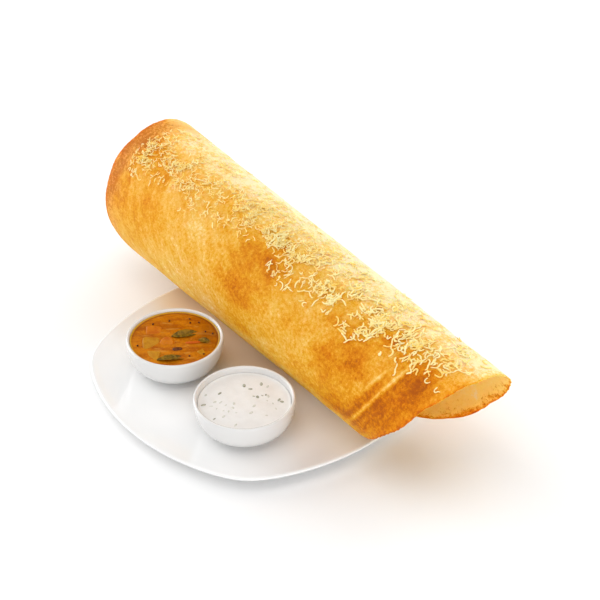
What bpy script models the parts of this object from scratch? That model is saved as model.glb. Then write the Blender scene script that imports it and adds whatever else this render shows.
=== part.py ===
"""Masala dosa served on its plate, with a bowl of sambar and a bowl of coconut chutney.

The crepe is one thin sheet rolled into a tapering, open-ended tube. It lies along X across the back of a
plate that has four bulging sides. The two bowls stand side by side in front of it, on the -Y side.
All lengths are in metres, +Z is up, and the plate's foot stands on z = 0.
"""

from math import pi, radians

import bpy
import numpy as np

MM = 0.001
GAP = 0.35 * MM  # clearance between pieces that touch

# Plate: four bulging sides, each an arc, meeting at soft corners.
PLATE_CORNER = 135.0 * MM  # centre to the sharp corner that the sides would meet at
PLATE_SIDE_RADIUS = 174.7 * MM  # radius of each side's arc
PLATE_CORNER_SHARPNESS = 44.0  # the higher, the tighter the corners
PLATE_TURN = radians(3.9)  # the sides are almost square to the roll
PLATE_WELL_Z = 8.0 * MM
PLATE_RIM_Z = 12.0 * MM
PLATE_RECESS_Z = 2.4 * MM  # underside inside the foot ring
FOOT_INNER = 74.0 * MM
FOOT_OUTER = 80.0 * MM
PLATE_STEPS = 56

# Bowls: two alike, low and round-bellied.
BOWL_RADIUS = 37.5 * MM
BOWL_HEIGHT = 27.0 * MM
BOWL_STEPS = 36
BOWL_ROW_Y = -50.6 * MM  # from the plate's centre
SAMBAR_X = -42.8 * MM
CHUTNEY_X = 48.8 * MM
SAMBAR_DROP = 2.6 * MM  # rim down to the sambar
CHUTNEY_DROP = 5.2 * MM  # rim down to the chutney

# Crepe: an oval sheet, rolled about an axis along X.
SHEET = 2.0 * MM  # thickness
ROLL_START_X = -195.3 * MM  # where the roll's own length is counted from
ROLL_AXIS_Y = 36.6 * MM
ROLL_SPAN = 400.0 * MM  # length that the two radii belong to
WIDE_RADIUS = 56.2 * MM
NARROW_RADIUS = 47.0 * MM
ROLL_SAG = 1.5 * MM  # how far the underside is pressed flat on the well
RIM_RISE = (0.66, 0.90)  # shares of the plate's edge between which the underside rises to clear the rim
HALF_GIRTH = 185.0 * MM  # arc from the sheet's middle line to either side edge
SIDE_CUT = 0.985  # share of that arc where the side edges run
MIDDLE = 190.0 * MM  # length along the roll at which the sheet is widest
WIDE_REACH = 200.5 * MM  # from there to the wide mouth
NARROW_REACH = 202.5 * MM  # from there to the narrow mouth
WIDE_BLUNTNESS = 3.3  # exponent of the wide end's outline: the higher, the squarer
WIDE_SHOULDER = 6.5 * MM  # how far the wide end's edge steps in on both sides of its middle
SHOULDER_SPAN = (0.0, 0.28, 0.45, 0.72)  # shares of the half girth where that step grows and fades
NARROW_ROUNDING = (2.0, 0.76)  # exponents of the narrow end's outline, between an ellipse and a parabola
UNEVEN = 0.7 * MM  # how far the two ends' edges wander
WIDE_TURN = radians(60.0)  # angle of the sheet's middle line at the wide mouth, from +Y over the top
NARROW_TURN = radians(78.0)  # the same at the narrow mouth
TUCK = SHEET + 1.0 * MM  # how far the inner edge lies inside the outer one
TUCK_SPAN = (0.52, 0.78)  # shares of the half girth between which it goes in
ROLL_STEPS = 60
LENGTH_STEPS = 18


def clear_scene():
    """Removes every object that the file opened with."""
    for item in list(bpy.data.objects):
        bpy.data.objects.remove(item, do_unlink=True)


def finish(name, colour, roughness, metallic=0.0):
    """A Principled material of one colour."""
    material = bpy.data.materials.new(name)
    material.use_nodes = True
    shader = material.node_tree.nodes["Principled BSDF"]
    shader.inputs["Base Color"].default_value = (*colour, 1.0)
    shader.inputs["Roughness"].default_value = roughness
    shader.inputs["Metallic"].default_value = metallic
    return material


def add_object(name, mesh, material, collection, root):
    """Places a mesh in the serving as one named piece."""
    piece = bpy.data.objects.new(name, mesh)
    collection.objects.link(piece)
    mesh.materials.append(material)
    piece.parent = root
    return piece


def turned_mesh(name, profile, steps):
    """A solid turned about Z from a profile of (radius, height) that starts and ends on the axis."""
    outline = bpy.data.meshes.new(name)
    points = [(radius, 0.0, height) for radius, height in profile]
    outline.from_pydata(points, [(i, i + 1) for i in range(len(points) - 1)], [])
    blank = bpy.data.objects.new(name + "_blank", outline)
    bpy.context.scene.collection.objects.link(blank)
    screw = blank.modifiers.new("turn", "SCREW")
    screw.steps = screw.render_steps = steps
    screw.use_merge_vertices = True
    screw.merge_threshold = 0.00001
    graph = bpy.context.evaluated_depsgraph_get()
    mesh = bpy.data.meshes.new_from_object(blank.evaluated_get(graph))
    bpy.data.objects.remove(blank, do_unlink=True)
    mesh.name = name
    mesh.shade_smooth()
    mesh.set_sharp_from_angle(angle=radians(50))
    return mesh


def side_distance(angle):
    """Distance from the plate's centre to its edge: the least of four arcs, softly joined."""
    half_side = PLATE_CORNER * np.sin(pi / 4)
    arc_centre = half_side - np.sqrt(PLATE_SIDE_RADIUS**2 - half_side**2)
    arcs = []
    for quarter in range(4):
        lean = np.cos(angle - quarter * pi / 2)
        arcs.append(arc_centre * lean + np.sqrt(arc_centre**2 * (lean**2 - 1) + PLATE_SIDE_RADIUS**2))
    powers = sum(arc**-PLATE_CORNER_SHARPNESS for arc in arcs)
    return powers ** (-1 / PLATE_CORNER_SHARPNESS)


def mesh_points(mesh):
    """The mesh's vertices as an array of rows."""
    points = np.empty(len(mesh.vertices) * 3)
    mesh.vertices.foreach_get("co", points)
    return points.reshape(-1, 3)


def plate_mesh():
    """A round plate is turned first, then its radius is stretched to the four-sided outline."""
    edge = float(side_distance(0.0))
    profile = [
        (0.0, PLATE_WELL_Z),
        (0.70 * edge, PLATE_WELL_Z),
        (0.84 * edge, PLATE_WELL_Z + 0.6 * MM),
        (0.94 * edge, PLATE_RIM_Z - 1.5 * MM),
        (edge - 1.6 * MM, PLATE_RIM_Z),
        (edge - 0.4 * MM, PLATE_RIM_Z - 0.2 * MM),
        (edge, PLATE_RIM_Z - 1.2 * MM),
        (edge - 0.7 * MM, PLATE_RIM_Z - 2.6 * MM),
        (0.94 * edge, PLATE_RIM_Z - 5.0 * MM),
        (0.82 * edge, 4.6 * MM),
        (FOOT_OUTER + 2.0 * MM, 3.4 * MM),
        (FOOT_OUTER, 0.0),
        (FOOT_INNER, 0.0),
        (FOOT_INNER - 1.6 * MM, PLATE_RECESS_Z),
        (0.0, PLATE_RECESS_Z),
    ]
    mesh = turned_mesh("plate", profile, PLATE_STEPS)
    points = mesh_points(mesh)
    angle = np.arctan2(points[:, 1], points[:, 0])
    points[:, :2] *= (side_distance(angle - PLATE_TURN) / edge)[:, None]
    mesh.vertices.foreach_set("co", points.ravel())
    mesh.update()
    return mesh


def bowl_inside():
    """The bowl's inner wall from its middle up to the rim, as (radius, height) above the bowl's foot."""
    return [
        (0.0, 3.4 * MM),
        (14.0 * MM, 3.7 * MM),
        (22.0 * MM, 5.4 * MM),
        (28.0 * MM, 9.2 * MM),
        (31.8 * MM, 14.0 * MM),
        (34.0 * MM, 20.0 * MM),
        (34.9 * MM, BOWL_HEIGHT - 1.4 * MM),
    ]


def bowl_profile():
    """The whole bowl: up the inside, over the rim, down the belly and across the foot."""
    outside = [
        (35.5 * MM, BOWL_HEIGHT - 0.3 * MM),
        (36.4 * MM, BOWL_HEIGHT),
        (37.2 * MM, BOWL_HEIGHT - 0.4 * MM),
        (BOWL_RADIUS, BOWL_HEIGHT - 1.5 * MM),
        (37.0 * MM, 19.5 * MM),
        (35.2 * MM, 12.0 * MM),
        (32.2 * MM, 6.6 * MM),
        (28.0 * MM, 3.0 * MM),
        (23.6 * MM, 1.5 * MM),
        (22.6 * MM, 0.0),
        (19.4 * MM, 0.0),
        (18.4 * MM, 1.2 * MM),
        (0.0, 1.2 * MM),
    ]
    return bowl_inside() + outside


def filling_profile(level):
    """What fills the bowl to a level: a flat top, then down the bowl's wall, a gap inside it."""
    wall = bowl_inside()
    radii = np.array([radius for radius, _ in wall])
    heights = np.array([height for _, height in wall])
    top_radius = float(np.interp(level, heights, radii)) - GAP
    below = [(r - GAP, z + GAP) for r, z in wall if 0 < r and z + GAP < level - MM]
    return [(0.0, level), (top_radius, level), *reversed(below), (0.0, heights[0] + GAP)]


def smoothstep(value, low, high):
    """0 at low, 1 at high, with a soft start and end."""
    share = np.clip((value - low) / (high - low), 0.0, 1.0)
    return share * share * (3 - 2 * share)


def sheet_reach(arc):
    """How far the sheet runs from its widest place towards the wide and the narrow mouth.

    Both fall away from the middle line to the side edges. The narrow end is round, the wide end is blunt
    with a tongue in its middle, and each edge is slightly uneven, as poured batter is.
    """
    share = np.clip(np.abs(arc) / HALF_GIRTH, 0.0, 0.999)
    step = smoothstep(share, *SHOULDER_SPAN[:2]) * (1 - smoothstep(share, *SHOULDER_SPAN[2:]))
    wide = WIDE_REACH * (1 - share**WIDE_BLUNTNESS) ** (1 / WIDE_BLUNTNESS) - WIDE_SHOULDER * step
    narrow = NARROW_REACH * (1 - share ** NARROW_ROUNDING[0]) ** NARROW_ROUNDING[1]
    ripple = np.sin(arc / (9 * MM)) + 0.7 * np.sin(arc / (5.3 * MM) + 1.0)
    uneven = UNEVEN * ripple * (1 - share**6)
    return wide + 0.5 * uneven, narrow + uneven


def soft_minimum(first, second, power=60):
    """The lesser of two lengths, with the join between them rounded."""
    return (first**-power + second**-power) ** (-1 / power)


def roll_place(arc, along):
    """Points of the rolled sheet's outer face.

    The angle round the roll is the middle line's angle plus the arc over the radius, which tapers along
    the roll. The underside is a soft minimum of the circle and the plate below it, which rises from the
    well to the rim, and the side edge that goes in first is tucked inside the other.

    Args:
        arc: distance round the roll from the sheet's middle line.
        along: distance along the roll.
    """
    share = along / ROLL_SPAN
    x = ROLL_START_X + along
    radius = WIDE_RADIUS + (NARROW_RADIUS - WIDE_RADIUS) * share
    angle = WIDE_TURN + (NARROW_TURN - WIDE_TURN) * share + arc / radius
    rise = (PLATE_RIM_Z - PLATE_WELL_Z) * smoothstep(np.abs(x) / side_distance(0.0), *RIM_RISE)
    below = np.maximum(-np.sin(angle), 1e-3)
    pressed = soft_minimum(radius, (radius - ROLL_SAG - rise) / below)
    reach = pressed - TUCK * smoothstep(-arc / HALF_GIRTH, *TUCK_SPAN)
    y = ROLL_AXIS_Y + reach * np.cos(angle)
    z = PLATE_WELL_Z + GAP + radius - ROLL_SAG + reach * np.sin(angle)
    return np.stack(np.broadcast_arrays(x, y, z), axis=-1)


def roll_mesh():
    """A flat grid, moved to the rolled sheet's outer face: X runs round the roll and Y along it."""
    bpy.ops.mesh.primitive_grid_add(x_subdivisions=ROLL_STEPS, y_subdivisions=LENGTH_STEPS, size=2.0)
    grid = bpy.context.object
    mesh = grid.data.copy()
    bpy.data.objects.remove(grid, do_unlink=True)
    points = mesh_points(mesh)
    arc = points[:, 0] * HALF_GIRTH * SIDE_CUT
    wide, narrow = sheet_reach(arc)
    run = np.sin(points[:, 1] * pi / 2)  # closer rows towards the mouths
    along = MIDDLE + np.where(run < 0, wide, narrow) * run
    mesh.vertices.foreach_set("co", roll_place(arc, along).ravel())
    mesh.shade_smooth()
    mesh.name = "dosa_roll"
    return mesh


def centre_on_origin(root, pieces):
    """Moves the serving so that the middle of its box stands on the origin."""
    bpy.context.view_layer.update()
    graph = bpy.context.evaluated_depsgraph_get()
    corners = []
    for piece in pieces:
        shown = piece.evaluated_get(graph)
        corners += [mesh_points(shown.to_mesh()) + np.array(shown.matrix_world.translation)]
        shown.to_mesh_clear()
    corners = np.concatenate(corners)
    low, high = corners.min(0), corners.max(0)
    root.location = (-(low[0] + high[0]) / 2, -(low[1] + high[1]) / 2, -low[2])


def main():
    """Builds the plate, both bowls with what fills them, and the roll."""
    clear_scene()
    serving = bpy.data.collections.new("masala_dosa")
    bpy.context.scene.collection.children.link(serving)
    root = bpy.data.objects.new("serving", None)
    serving.objects.link(root)

    porcelain = finish("white_porcelain", (0.86, 0.86, 0.85), 0.18)
    crepe = finish("golden_crepe", (0.80, 0.43, 0.10), 0.5)
    stew = finish("sambar", (0.50, 0.20, 0.03), 0.15)
    cream = finish("coconut_chutney", (0.84, 0.80, 0.74), 0.35)

    pieces = [add_object("plate", plate_mesh(), porcelain, serving, root)]
    bowls = (
        ("sambar", SAMBAR_X, SAMBAR_DROP, stew),
        ("chutney", CHUTNEY_X, CHUTNEY_DROP, cream),
    )
    for food, x, drop, filling_finish in bowls:
        place = (x, BOWL_ROW_Y, PLATE_WELL_Z + GAP)
        bowl = turned_mesh(food + "_bowl", bowl_profile(), BOWL_STEPS)
        filling = turned_mesh(food, filling_profile(BOWL_HEIGHT - drop), BOWL_STEPS)
        for name, mesh, material in ((food + "_bowl", bowl, porcelain), (food, filling, filling_finish)):
            piece = add_object(name, mesh, material, serving, root)
            piece.location = place
            pieces.append(piece)

    roll = add_object("dosa_roll", roll_mesh(), crepe, serving, root)
    wall = roll.modifiers.new("sheet", "SOLIDIFY")
    wall.thickness = SHEET
    wall.offset = -1.0
    pieces.append(roll)
    centre_on_origin(root, pieces)


main()
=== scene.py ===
"""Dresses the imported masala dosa: the crepe, its grated cheese, both bowls with what fills them, and the plate.

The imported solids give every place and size. Each piece here is a fine surface worked out with numpy, which
stands for the solid of the same form, and each finish is a small class that builds its own shader nodes.
Lengths are in metres unless a comment says millimetres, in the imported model's own frame: +X along the roll,
+Z up. An angle round the roll is counted from +Y over the top, so 90 degrees is its top.
"""

import logging
from collections.abc import Callable
from dataclasses import dataclass, field
from enum import Enum
from functools import cache, reduce
from math import cos, pi, radians, sin, tau

import bpy
import numpy as np
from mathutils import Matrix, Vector


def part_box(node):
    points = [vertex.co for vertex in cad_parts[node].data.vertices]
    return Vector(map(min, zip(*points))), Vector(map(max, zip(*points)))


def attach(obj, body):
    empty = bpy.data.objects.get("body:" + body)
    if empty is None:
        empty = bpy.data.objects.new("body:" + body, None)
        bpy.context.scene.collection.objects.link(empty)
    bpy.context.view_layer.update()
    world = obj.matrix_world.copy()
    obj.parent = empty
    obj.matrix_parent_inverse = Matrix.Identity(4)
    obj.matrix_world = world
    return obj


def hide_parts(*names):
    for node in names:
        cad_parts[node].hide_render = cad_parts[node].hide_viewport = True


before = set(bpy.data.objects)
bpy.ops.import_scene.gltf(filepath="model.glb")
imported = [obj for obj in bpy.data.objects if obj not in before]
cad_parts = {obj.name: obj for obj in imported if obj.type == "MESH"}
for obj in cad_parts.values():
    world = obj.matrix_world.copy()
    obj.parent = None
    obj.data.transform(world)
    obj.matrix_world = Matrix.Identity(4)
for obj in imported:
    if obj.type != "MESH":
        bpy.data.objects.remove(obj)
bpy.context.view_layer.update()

LOG = logging.getLogger("masala_dosa")
BODY = "root"
MM = 0.001
LATTICE = 128

Array = np.ndarray
Colour = tuple[float, float, float]
Place = tuple[float, float, float]
Spots = tuple[tuple[float, float], ...]
Profile = list[tuple[float, float]]
Surface = tuple[Array, list[Array]]


class Slot(Enum):
    """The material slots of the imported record."""

    PORCELAIN = "porcelain"
    CREPE = "crepe"
    SAMBAR = "sambar"
    CHUTNEY = "chutney"


# ---------------------------------------------------------------- numbers and surfaces


def smoothstep(value: Array, low: float, high: float) -> Array:
    """0 at low and 1 at high, with a soft start and end: 3t^2 - 2t^3 of the share between them.

    Args:
        value: the numbers.
        low, high: where the step starts and ends.

    Returns:
        Numbers from 0 to 1.
    """
    share = np.clip((value - low) / (high - low), 0.0, 1.0)
    return share * share * (3 - 2 * share)


def lattice_noise(x: Array, y: Array, cell: float, seed: int) -> Array:
    """Value noise: seeded random heights on a square lattice, joined by quintic steps.

    Args:
        x, y: where to read it, as arrays of one shape.
        cell: the lattice's pitch.
        seed: which random heights to use.

    Returns:
        Heights from -1 to 1.
    """
    table = np.random.default_rng(seed).uniform(-1, 1, (LATTICE, LATTICE))
    u, v = np.asarray(x) / cell, np.asarray(y) / cell
    column, row = np.floor(u).astype(int), np.floor(v).astype(int)
    fu, fv = u - column, v - row
    su, sv = (f**3 * (f * (f * 6 - 15) + 10) for f in (fu, fv))

    def corner(right: int, up: int) -> Array:
        """The lattice's height at one corner of each cell."""
        return table[(column + right) % LATTICE, (row + up) % LATTICE]

    near = corner(0, 0) * (1 - su) + corner(1, 0) * su
    far = corner(0, 1) * (1 - su) + corner(1, 1) * su
    return near * (1 - sv) + far * sv


def cloud(x: Array, y: Array, cell: float, seed: int, layers: int = 3) -> Array:
    """Noise in layers, each half as wide and half as high as the one before, from about -1 to 1.

    Args:
        x, y: where to read it.
        cell: the widest layer's pitch.
        seed: which random heights to use.
        layers: how many layers there are.

    Returns:
        The noise.
    """
    total = np.zeros(np.broadcast(x, y).shape)
    for layer in range(layers):
        total = total + lattice_noise(x, y, cell / 2**layer, seed + layer) / 2**layer
    return total / (2 - 2.0 ** (1 - layers))


def unit(vectors: Array) -> Array:
    """Vectors scaled to length 1."""
    return vectors / np.maximum(np.linalg.norm(vectors, axis=-1, keepdims=True), 1e-12)


def grid_quads(rows: int, columns: int, wrap_rows: bool = False) -> Array:
    """The quads between the points of a grid stored row by row.

    Args:
        rows, columns: the grid's number of points each way.
        wrap_rows: whether the last row joins the first one.

    Returns:
        Point indices, four to a row.
    """
    i, j = np.meshgrid(np.arange(rows if wrap_rows else rows - 1), np.arange(columns - 1), indexing="ij")
    i, j, after = i.ravel(), j.ravel(), (i.ravel() + 1) % rows
    corners = (i * columns + j, after * columns + j, after * columns + j + 1, i * columns + j + 1)
    return np.stack(corners, axis=-1)


def grid_border(rows: int, columns: int) -> Array:
    """The indices of the points round a grid stored row by row, in order, each corner once."""
    index = np.arange(rows * columns).reshape(rows, columns)
    return np.concatenate([index[0, :0:-1], index[:-1, 0], index[-1, :-1], index[:0:-1, -1]])


def signed_volume(points: Array, faces: list[Array]) -> float:
    """Six times the volume that the faces enclose, from the fan of triangles of each face.

    Args:
        points: the surface's points.
        faces: arrays of point indices.

    Returns:
        That number, which is negative where the faces point inwards.
    """
    total = 0.0
    for group in faces:
        corners = points[np.asarray(group)]
        for k in range(1, corners.shape[1] - 1):
            total += float(np.einsum("ij,ij->", corners[:, 0], np.cross(corners[:, k], corners[:, k + 1])))
    return total


def add_object(name: str, data: bpy.types.ID) -> bpy.types.Object:
    """Puts a new object into the scene.

    Args:
        name: the object's name.
        data: its mesh, light or camera.

    Returns:
        The object.
    """
    made = bpy.data.objects.new(name, data)
    bpy.context.scene.collection.objects.link(made)
    return made


def add_piece(name: str, points: Array, faces: list[Array], material: bpy.types.Material) -> bpy.types.Object:
    """Makes a smooth-shaded object of closed surfaces, with its faces pointing out.

    Args:
        name: the piece's name.
        points: its points, three numbers to a row.
        faces: arrays of point indices, one array for each number of corners.
        material: its finish.

    Returns:
        The object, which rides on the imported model's body.
    """
    turned = signed_volume(points, faces) < 0
    rows = [row[::-1] if turned else row for group in faces for row in np.asarray(group).tolist()]
    mesh = bpy.data.meshes.new(name)
    mesh.from_pydata(points.tolist(), [], rows)
    mesh.materials.append(material)
    mesh.shade_smooth()
    piece = add_object(name, mesh)
    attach(piece, BODY)
    LOG.info("%s: %d points, %d faces", name, len(points), len(rows))
    return piece


def add_attribute(piece: bpy.types.Object, name: str, values: Array) -> None:
    """Stores one number, or one vector, for each point of a piece.

    Args:
        piece: the piece.
        name: the attribute's name.
        values: one row for each point.
    """
    values = np.asarray(values, dtype=np.float32)
    vector = values.ndim == 2
    layer = piece.data.attributes.new(name, "FLOAT_VECTOR" if vector else "FLOAT", "POINT")
    layer.data.foreach_set("vector" if vector else "value", values.ravel())


def turned_surface(profile: Profile, steps: int) -> Surface:
    """A closed surface: a profile that starts and ends on the axis, carried round Z.

    Args:
        profile: (radius, height) pairs; the first and the last radius are 0.
        steps: how many copies of the profile stand round the axis.

    Returns:
        The points, ring by ring with a pole at each end, and the faces.
    """
    rings = np.array(profile[1:-1])
    angle = np.arange(steps) * tau / steps
    x = rings[None, :, 0] * np.cos(angle)[:, None]
    y = rings[None, :, 0] * np.sin(angle)[:, None]
    z = np.broadcast_to(rings[None, :, 1], x.shape)
    points = np.stack([x, y, z], axis=-1).reshape(-1, 3)
    poles = np.array([[0.0, 0.0, profile[0][1]], [0.0, 0.0, profile[-1][1]]])
    count, pole = len(rings), len(points)
    here = np.arange(steps) * count
    after = (np.arange(steps) + 1) % steps * count
    first_fan = np.stack([np.full(steps, pole), after, here], axis=-1)
    last_fan = np.stack([np.full(steps, pole + 1), here + count - 1, after + count - 1], axis=-1)
    quads = grid_quads(steps, count, wrap_rows=True)
    return np.concatenate([points, poles]), [quads, np.concatenate([first_fan, last_fan])]


def rounded_profile(corners: Profile, spacing: float) -> Profile:
    """A smooth curve through a profile's corners: a Catmull-Rom curve, read at even steps.

    Args:
        corners: (radius, height) pairs.
        spacing: about how far apart the curve is read.

    Returns:
        (radius, height) pairs, which start and end where the corners do.
    """
    knots = np.array([corners[0], *corners, corners[-1]], dtype=float)
    curve = []
    for a, b, c, d in zip(knots, knots[1:], knots[2:], knots[3:], strict=False):
        count = max(2, int(np.ceil(np.linalg.norm(c - b) / spacing)))
        t = (np.arange(count) / count)[:, None]
        curve.append(0.5 * (2 * b + (c - a) * t + (2 * a - 5 * b + 4 * c - d) * t**2 + (3 * b - a - 3 * c + d) * t**3))
    curve.append(knots[-1:])
    points = np.concatenate(curve)
    points[:, 0] = np.maximum(points[:, 0], 0.0)
    return [tuple(row) for row in points]


def globe(rings: int, sides: int) -> Surface:
    """A closed ball of diameter 1: half a circle, read at even angles, carried round Z.

    Args:
        rings, sides: how finely it is divided.

    Returns:
        The points about its middle, and the faces.
    """
    polar = (np.arange(rings) + 1) * pi / (rings + 1)
    profile = [(0.0, 0.5), *zip(0.5 * np.sin(polar), 0.5 * np.cos(polar), strict=True), (0.0, -0.5)]
    return turned_surface(profile, sides)


def swept_strands(paths: Array, outwards: Array, widths: Array, heights: Array, sides: int) -> Surface:
    """Many thin closed strands: an oval carried along each path.

    Args:
        paths: centre lines, as strands x points x 3.
        outwards: the direction at each point that the oval's height follows.
        widths, heights: the oval's two sizes at each point.
        sides: how many sides the oval has.

    Returns:
        The points and the faces of all the strands together.
    """
    along = unit(np.gradient(paths, axis=1))
    across = unit(np.cross(outwards, along))
    up = np.cross(along, across)
    turn = (np.arange(sides) + 0.5) * tau / sides
    oval_across = 0.5 * widths[..., None] * np.cos(turn)
    oval_up = 0.5 * heights[..., None] * np.sin(turn)
    rings = paths[:, :, None] + oval_across[..., None] * across[:, :, None] + oval_up[..., None] * up[:, :, None]
    strands, stations = paths.shape[:2]
    block = stations * sides
    quads = grid_quads(sides, stations, wrap_rows=True)
    # grid_quads numbers its points row by row with the sides as rows; the rings are stored station by station
    quads = (quads % stations) * sides + quads // stations
    starts = (np.arange(strands) * block)[:, None, None]
    caps = np.stack([np.arange(sides)[::-1], block - sides + np.arange(sides)])
    return rings.reshape(-1, 3), [(quads + starts).reshape(-1, 4), (caps + starts).reshape(-1, sides)]


def pebbles(centres: Array, sizes: Array, turns: Array, rings: int = 4, sides: int = 6) -> Surface:
    """Many small closed ovals: each a coarse globe, stretched to its own size and turned about Z.

    Args:
        centres: the middle of each one.
        sizes: its full length, width and height.
        turns: its turn about Z.
        rings, sides: how finely each globe is divided.

    Returns:
        The points and the faces of all of them together.
    """
    ball, faces = globe(rings, sides)
    shape = ball[None] * sizes[:, None]
    cosine, sine = np.cos(turns)[:, None], np.sin(turns)[:, None]
    x = shape[..., 0] * cosine - shape[..., 1] * sine
    y = shape[..., 0] * sine + shape[..., 1] * cosine
    points = np.stack([x, y, shape[..., 2]], axis=-1) + centres[:, None]
    starts = (np.arange(len(centres)) * len(ball))[:, None, None]
    return points.reshape(-1, 3), [(group + starts).reshape(-1, group.shape[1]) for group in faces]


def soft_block(size: Place, softness: float, rings: int = 14, sides: int = 28) -> Surface:
    """A block with soft edges: a globe whose sines and cosines are raised to a power under 1.

    Args:
        size: its full length, width and height.
        softness: that power; 1 gives an oval, and small values sharp edges.
        rings, sides: how finely the globe is divided.

    Returns:
        The points about the block's middle, and the faces.
    """
    ball, faces = globe(rings, sides)
    level = np.clip(2 * ball[:, 2], -1, 1)
    ring = np.sqrt(np.maximum(1 - level**2, 0.0))
    angle = np.arctan2(ball[:, 1], ball[:, 0])

    def soft(value: Array) -> Array:
        """The value's sign, times its size raised to the power."""
        return np.sign(value) * np.abs(value) ** softness

    shape = np.stack([soft(ring) * soft(np.cos(angle)), soft(ring) * soft(np.sin(angle)), soft(level)], axis=-1)
    return 0.5 * shape * np.array(size), faces


def turned_and_placed(points: Array, turns: Place, place: Array) -> Array:
    """Points turned about X, then Y, then Z, in radians, and moved to a place.

    Args:
        points: the points.
        turns: the three angles.
        place: where their origin goes.

    Returns:
        The moved points.
    """
    for axis, turn in enumerate(turns):
        first, second = (axis + 1) % 3, (axis + 2) % 3
        a, b = points[:, first].copy(), points[:, second].copy()
        points = points.copy()
        points[:, first] = a * cos(turn) - b * sin(turn)
        points[:, second] = a * sin(turn) + b * cos(turn)
    return points + place


def joined(parts: list[Surface]) -> Surface:
    """Several closed surfaces as one set of points and faces.

    Args:
        parts: the surfaces.

    Returns:
        The points and the faces of all of them.
    """
    points, faces, start = [], [], 0
    for part_points, part_faces in parts:
        points.append(part_points)
        faces += [np.asarray(group) + start for group in part_faces]
        start += len(part_points)
    return np.concatenate(points), faces


# ---------------------------------------------------------------- shader nodes


class Graph:
    """Adds nodes to one node tree, one call for each node."""

    def __init__(self, tree: bpy.types.NodeTree) -> None:
        """Keeps the tree."""
        self.tree = tree

    def put(self, socket: bpy.types.NodeSocket, value: object) -> None:
        """Links a socket to an input, or sets the input's own value.

        Args:
            socket: the input.
            value: an output socket, a number, or a colour or vector as a tuple.
        """
        if isinstance(value, bpy.types.NodeSocket):
            self.tree.links.new(value, socket)
        else:
            socket.default_value = (*value, 1.0) if socket.type == "RGBA" else value

    def node(self, kind: str, inputs: dict | None = None, **settings: object) -> bpy.types.Node:
        """Adds a node.

        Args:
            kind: the node's type, without its ShaderNode prefix.
            inputs: values or sockets for its inputs, by name or number.
            settings: the node's own settings.

        Returns:
            The node.
        """
        made = self.tree.nodes.new("ShaderNode" + kind)
        for name, value in settings.items():
            setattr(made, name, value)
        self.fill(made, inputs or {})
        return made

    def fill(self, node: bpy.types.Node, inputs: dict) -> None:
        """Links or sets several inputs of a node, by name or number."""
        for key, value in inputs.items():
            self.put(node.inputs[key], value)

    def group(self, tree: bpy.types.NodeTree, inputs: dict) -> bpy.types.Node:
        """Places a node group with its own values.

        Args:
            tree: the group.
            inputs: values or sockets for its inputs, by name.

        Returns:
            The group's node.
        """
        made = self.tree.nodes.new("ShaderNodeGroup")
        made.node_tree = tree
        self.fill(made, inputs)
        return made

    def here(self) -> object:
        """Where a point of the piece lies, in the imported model's frame."""
        return self.node("TexCoord").outputs["Object"]

    def attribute(self, name: str, output: str = "Fac") -> object:
        """A value that the piece's own points carry."""
        return self.node("Attribute", attribute_name=name).outputs[output]

    def math(self, operation: str, first: object, second: object) -> object:
        """One step of arithmetic, not clamped."""
        return self.node("Math", {0: first, 1: second}, operation=operation).outputs[0]

    def add(self, *values: object) -> object:
        """The sum of several values, added in order."""
        return reduce(lambda total, value: self.math("ADD", total, value), values)

    def times(self, *values: object) -> object:
        """The product of several values, multiplied in order."""
        return reduce(lambda total, value: self.math("MULTIPLY", total, value), values)

    def span(self, value: object, low: float, high: float, to_low: object = 0.0, to_high: object = 1.0) -> object:
        """Maps a range of numbers to another one by a smooth step, clamped at both ends."""
        inputs = {"Value": value, "From Min": low, "From Max": high, "To Min": to_low, "To Max": to_high}
        return self.node("MapRange", inputs, interpolation_type="SMOOTHSTEP").outputs["Result"]

    def blend(self, share: object, first: object, second: object) -> object:
        """The blend of two colours: the Mix node's share and two colours are its inputs 0, 6 and 7."""
        return self.node("Mix", {0: share, 6: first, 7: second}, data_type="RGBA").outputs[2]

    def noise(self, where: object, pitch: object, detail: object = 2.0, coarseness: object = 0.5) -> object:
        """Noise from 0 to 1 at a number of features to the metre."""
        inputs = {"Vector": where, "Scale": pitch, "Detail": detail, "Roughness": coarseness}
        return self.node("TexNoise", inputs).outputs["Fac"]

    def cells(self, where: object, pitch: object) -> object:
        """Distance from the nearest of many scattered points, in cells."""
        return self.node("TexVoronoi", {"Vector": where, "Scale": pitch}).outputs["Distance"]

    def ramp(self, value: object, stops: list[tuple[float, Colour]]) -> object:
        """A colour ramp.

        Args:
            value: where to read it.
            stops: (position, colour) pairs in order.

        Returns:
            The colour.
        """
        made = self.node("ValToRGB", {"Fac": value})
        elements = made.color_ramp.elements
        while len(elements) < len(stops):
            elements.new(0.5)
        for element, (position, colour) in zip(elements, stops, strict=True):
            element.position = position
            element.color = (*colour, 1.0)
        return made.outputs["Color"]

    def bump(self, height: object, distance: float, strength: float = 1.0) -> object:
        """Bends the normal by a height field."""
        return self.node("Bump", {"Height": height, "Distance": distance, "Strength": strength}).outputs["Normal"]


def new_material(name: str) -> tuple[bpy.types.Material, Graph, bpy.types.Node]:
    """An empty material with its graph and its Principled shader.

    Args:
        name: the material's name.

    Returns:
        The material, its graph and its shader.
    """
    material = bpy.data.materials.new(name)
    material.use_nodes = True
    return material, Graph(material.node_tree), material.node_tree.nodes["Principled BSDF"]


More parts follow.
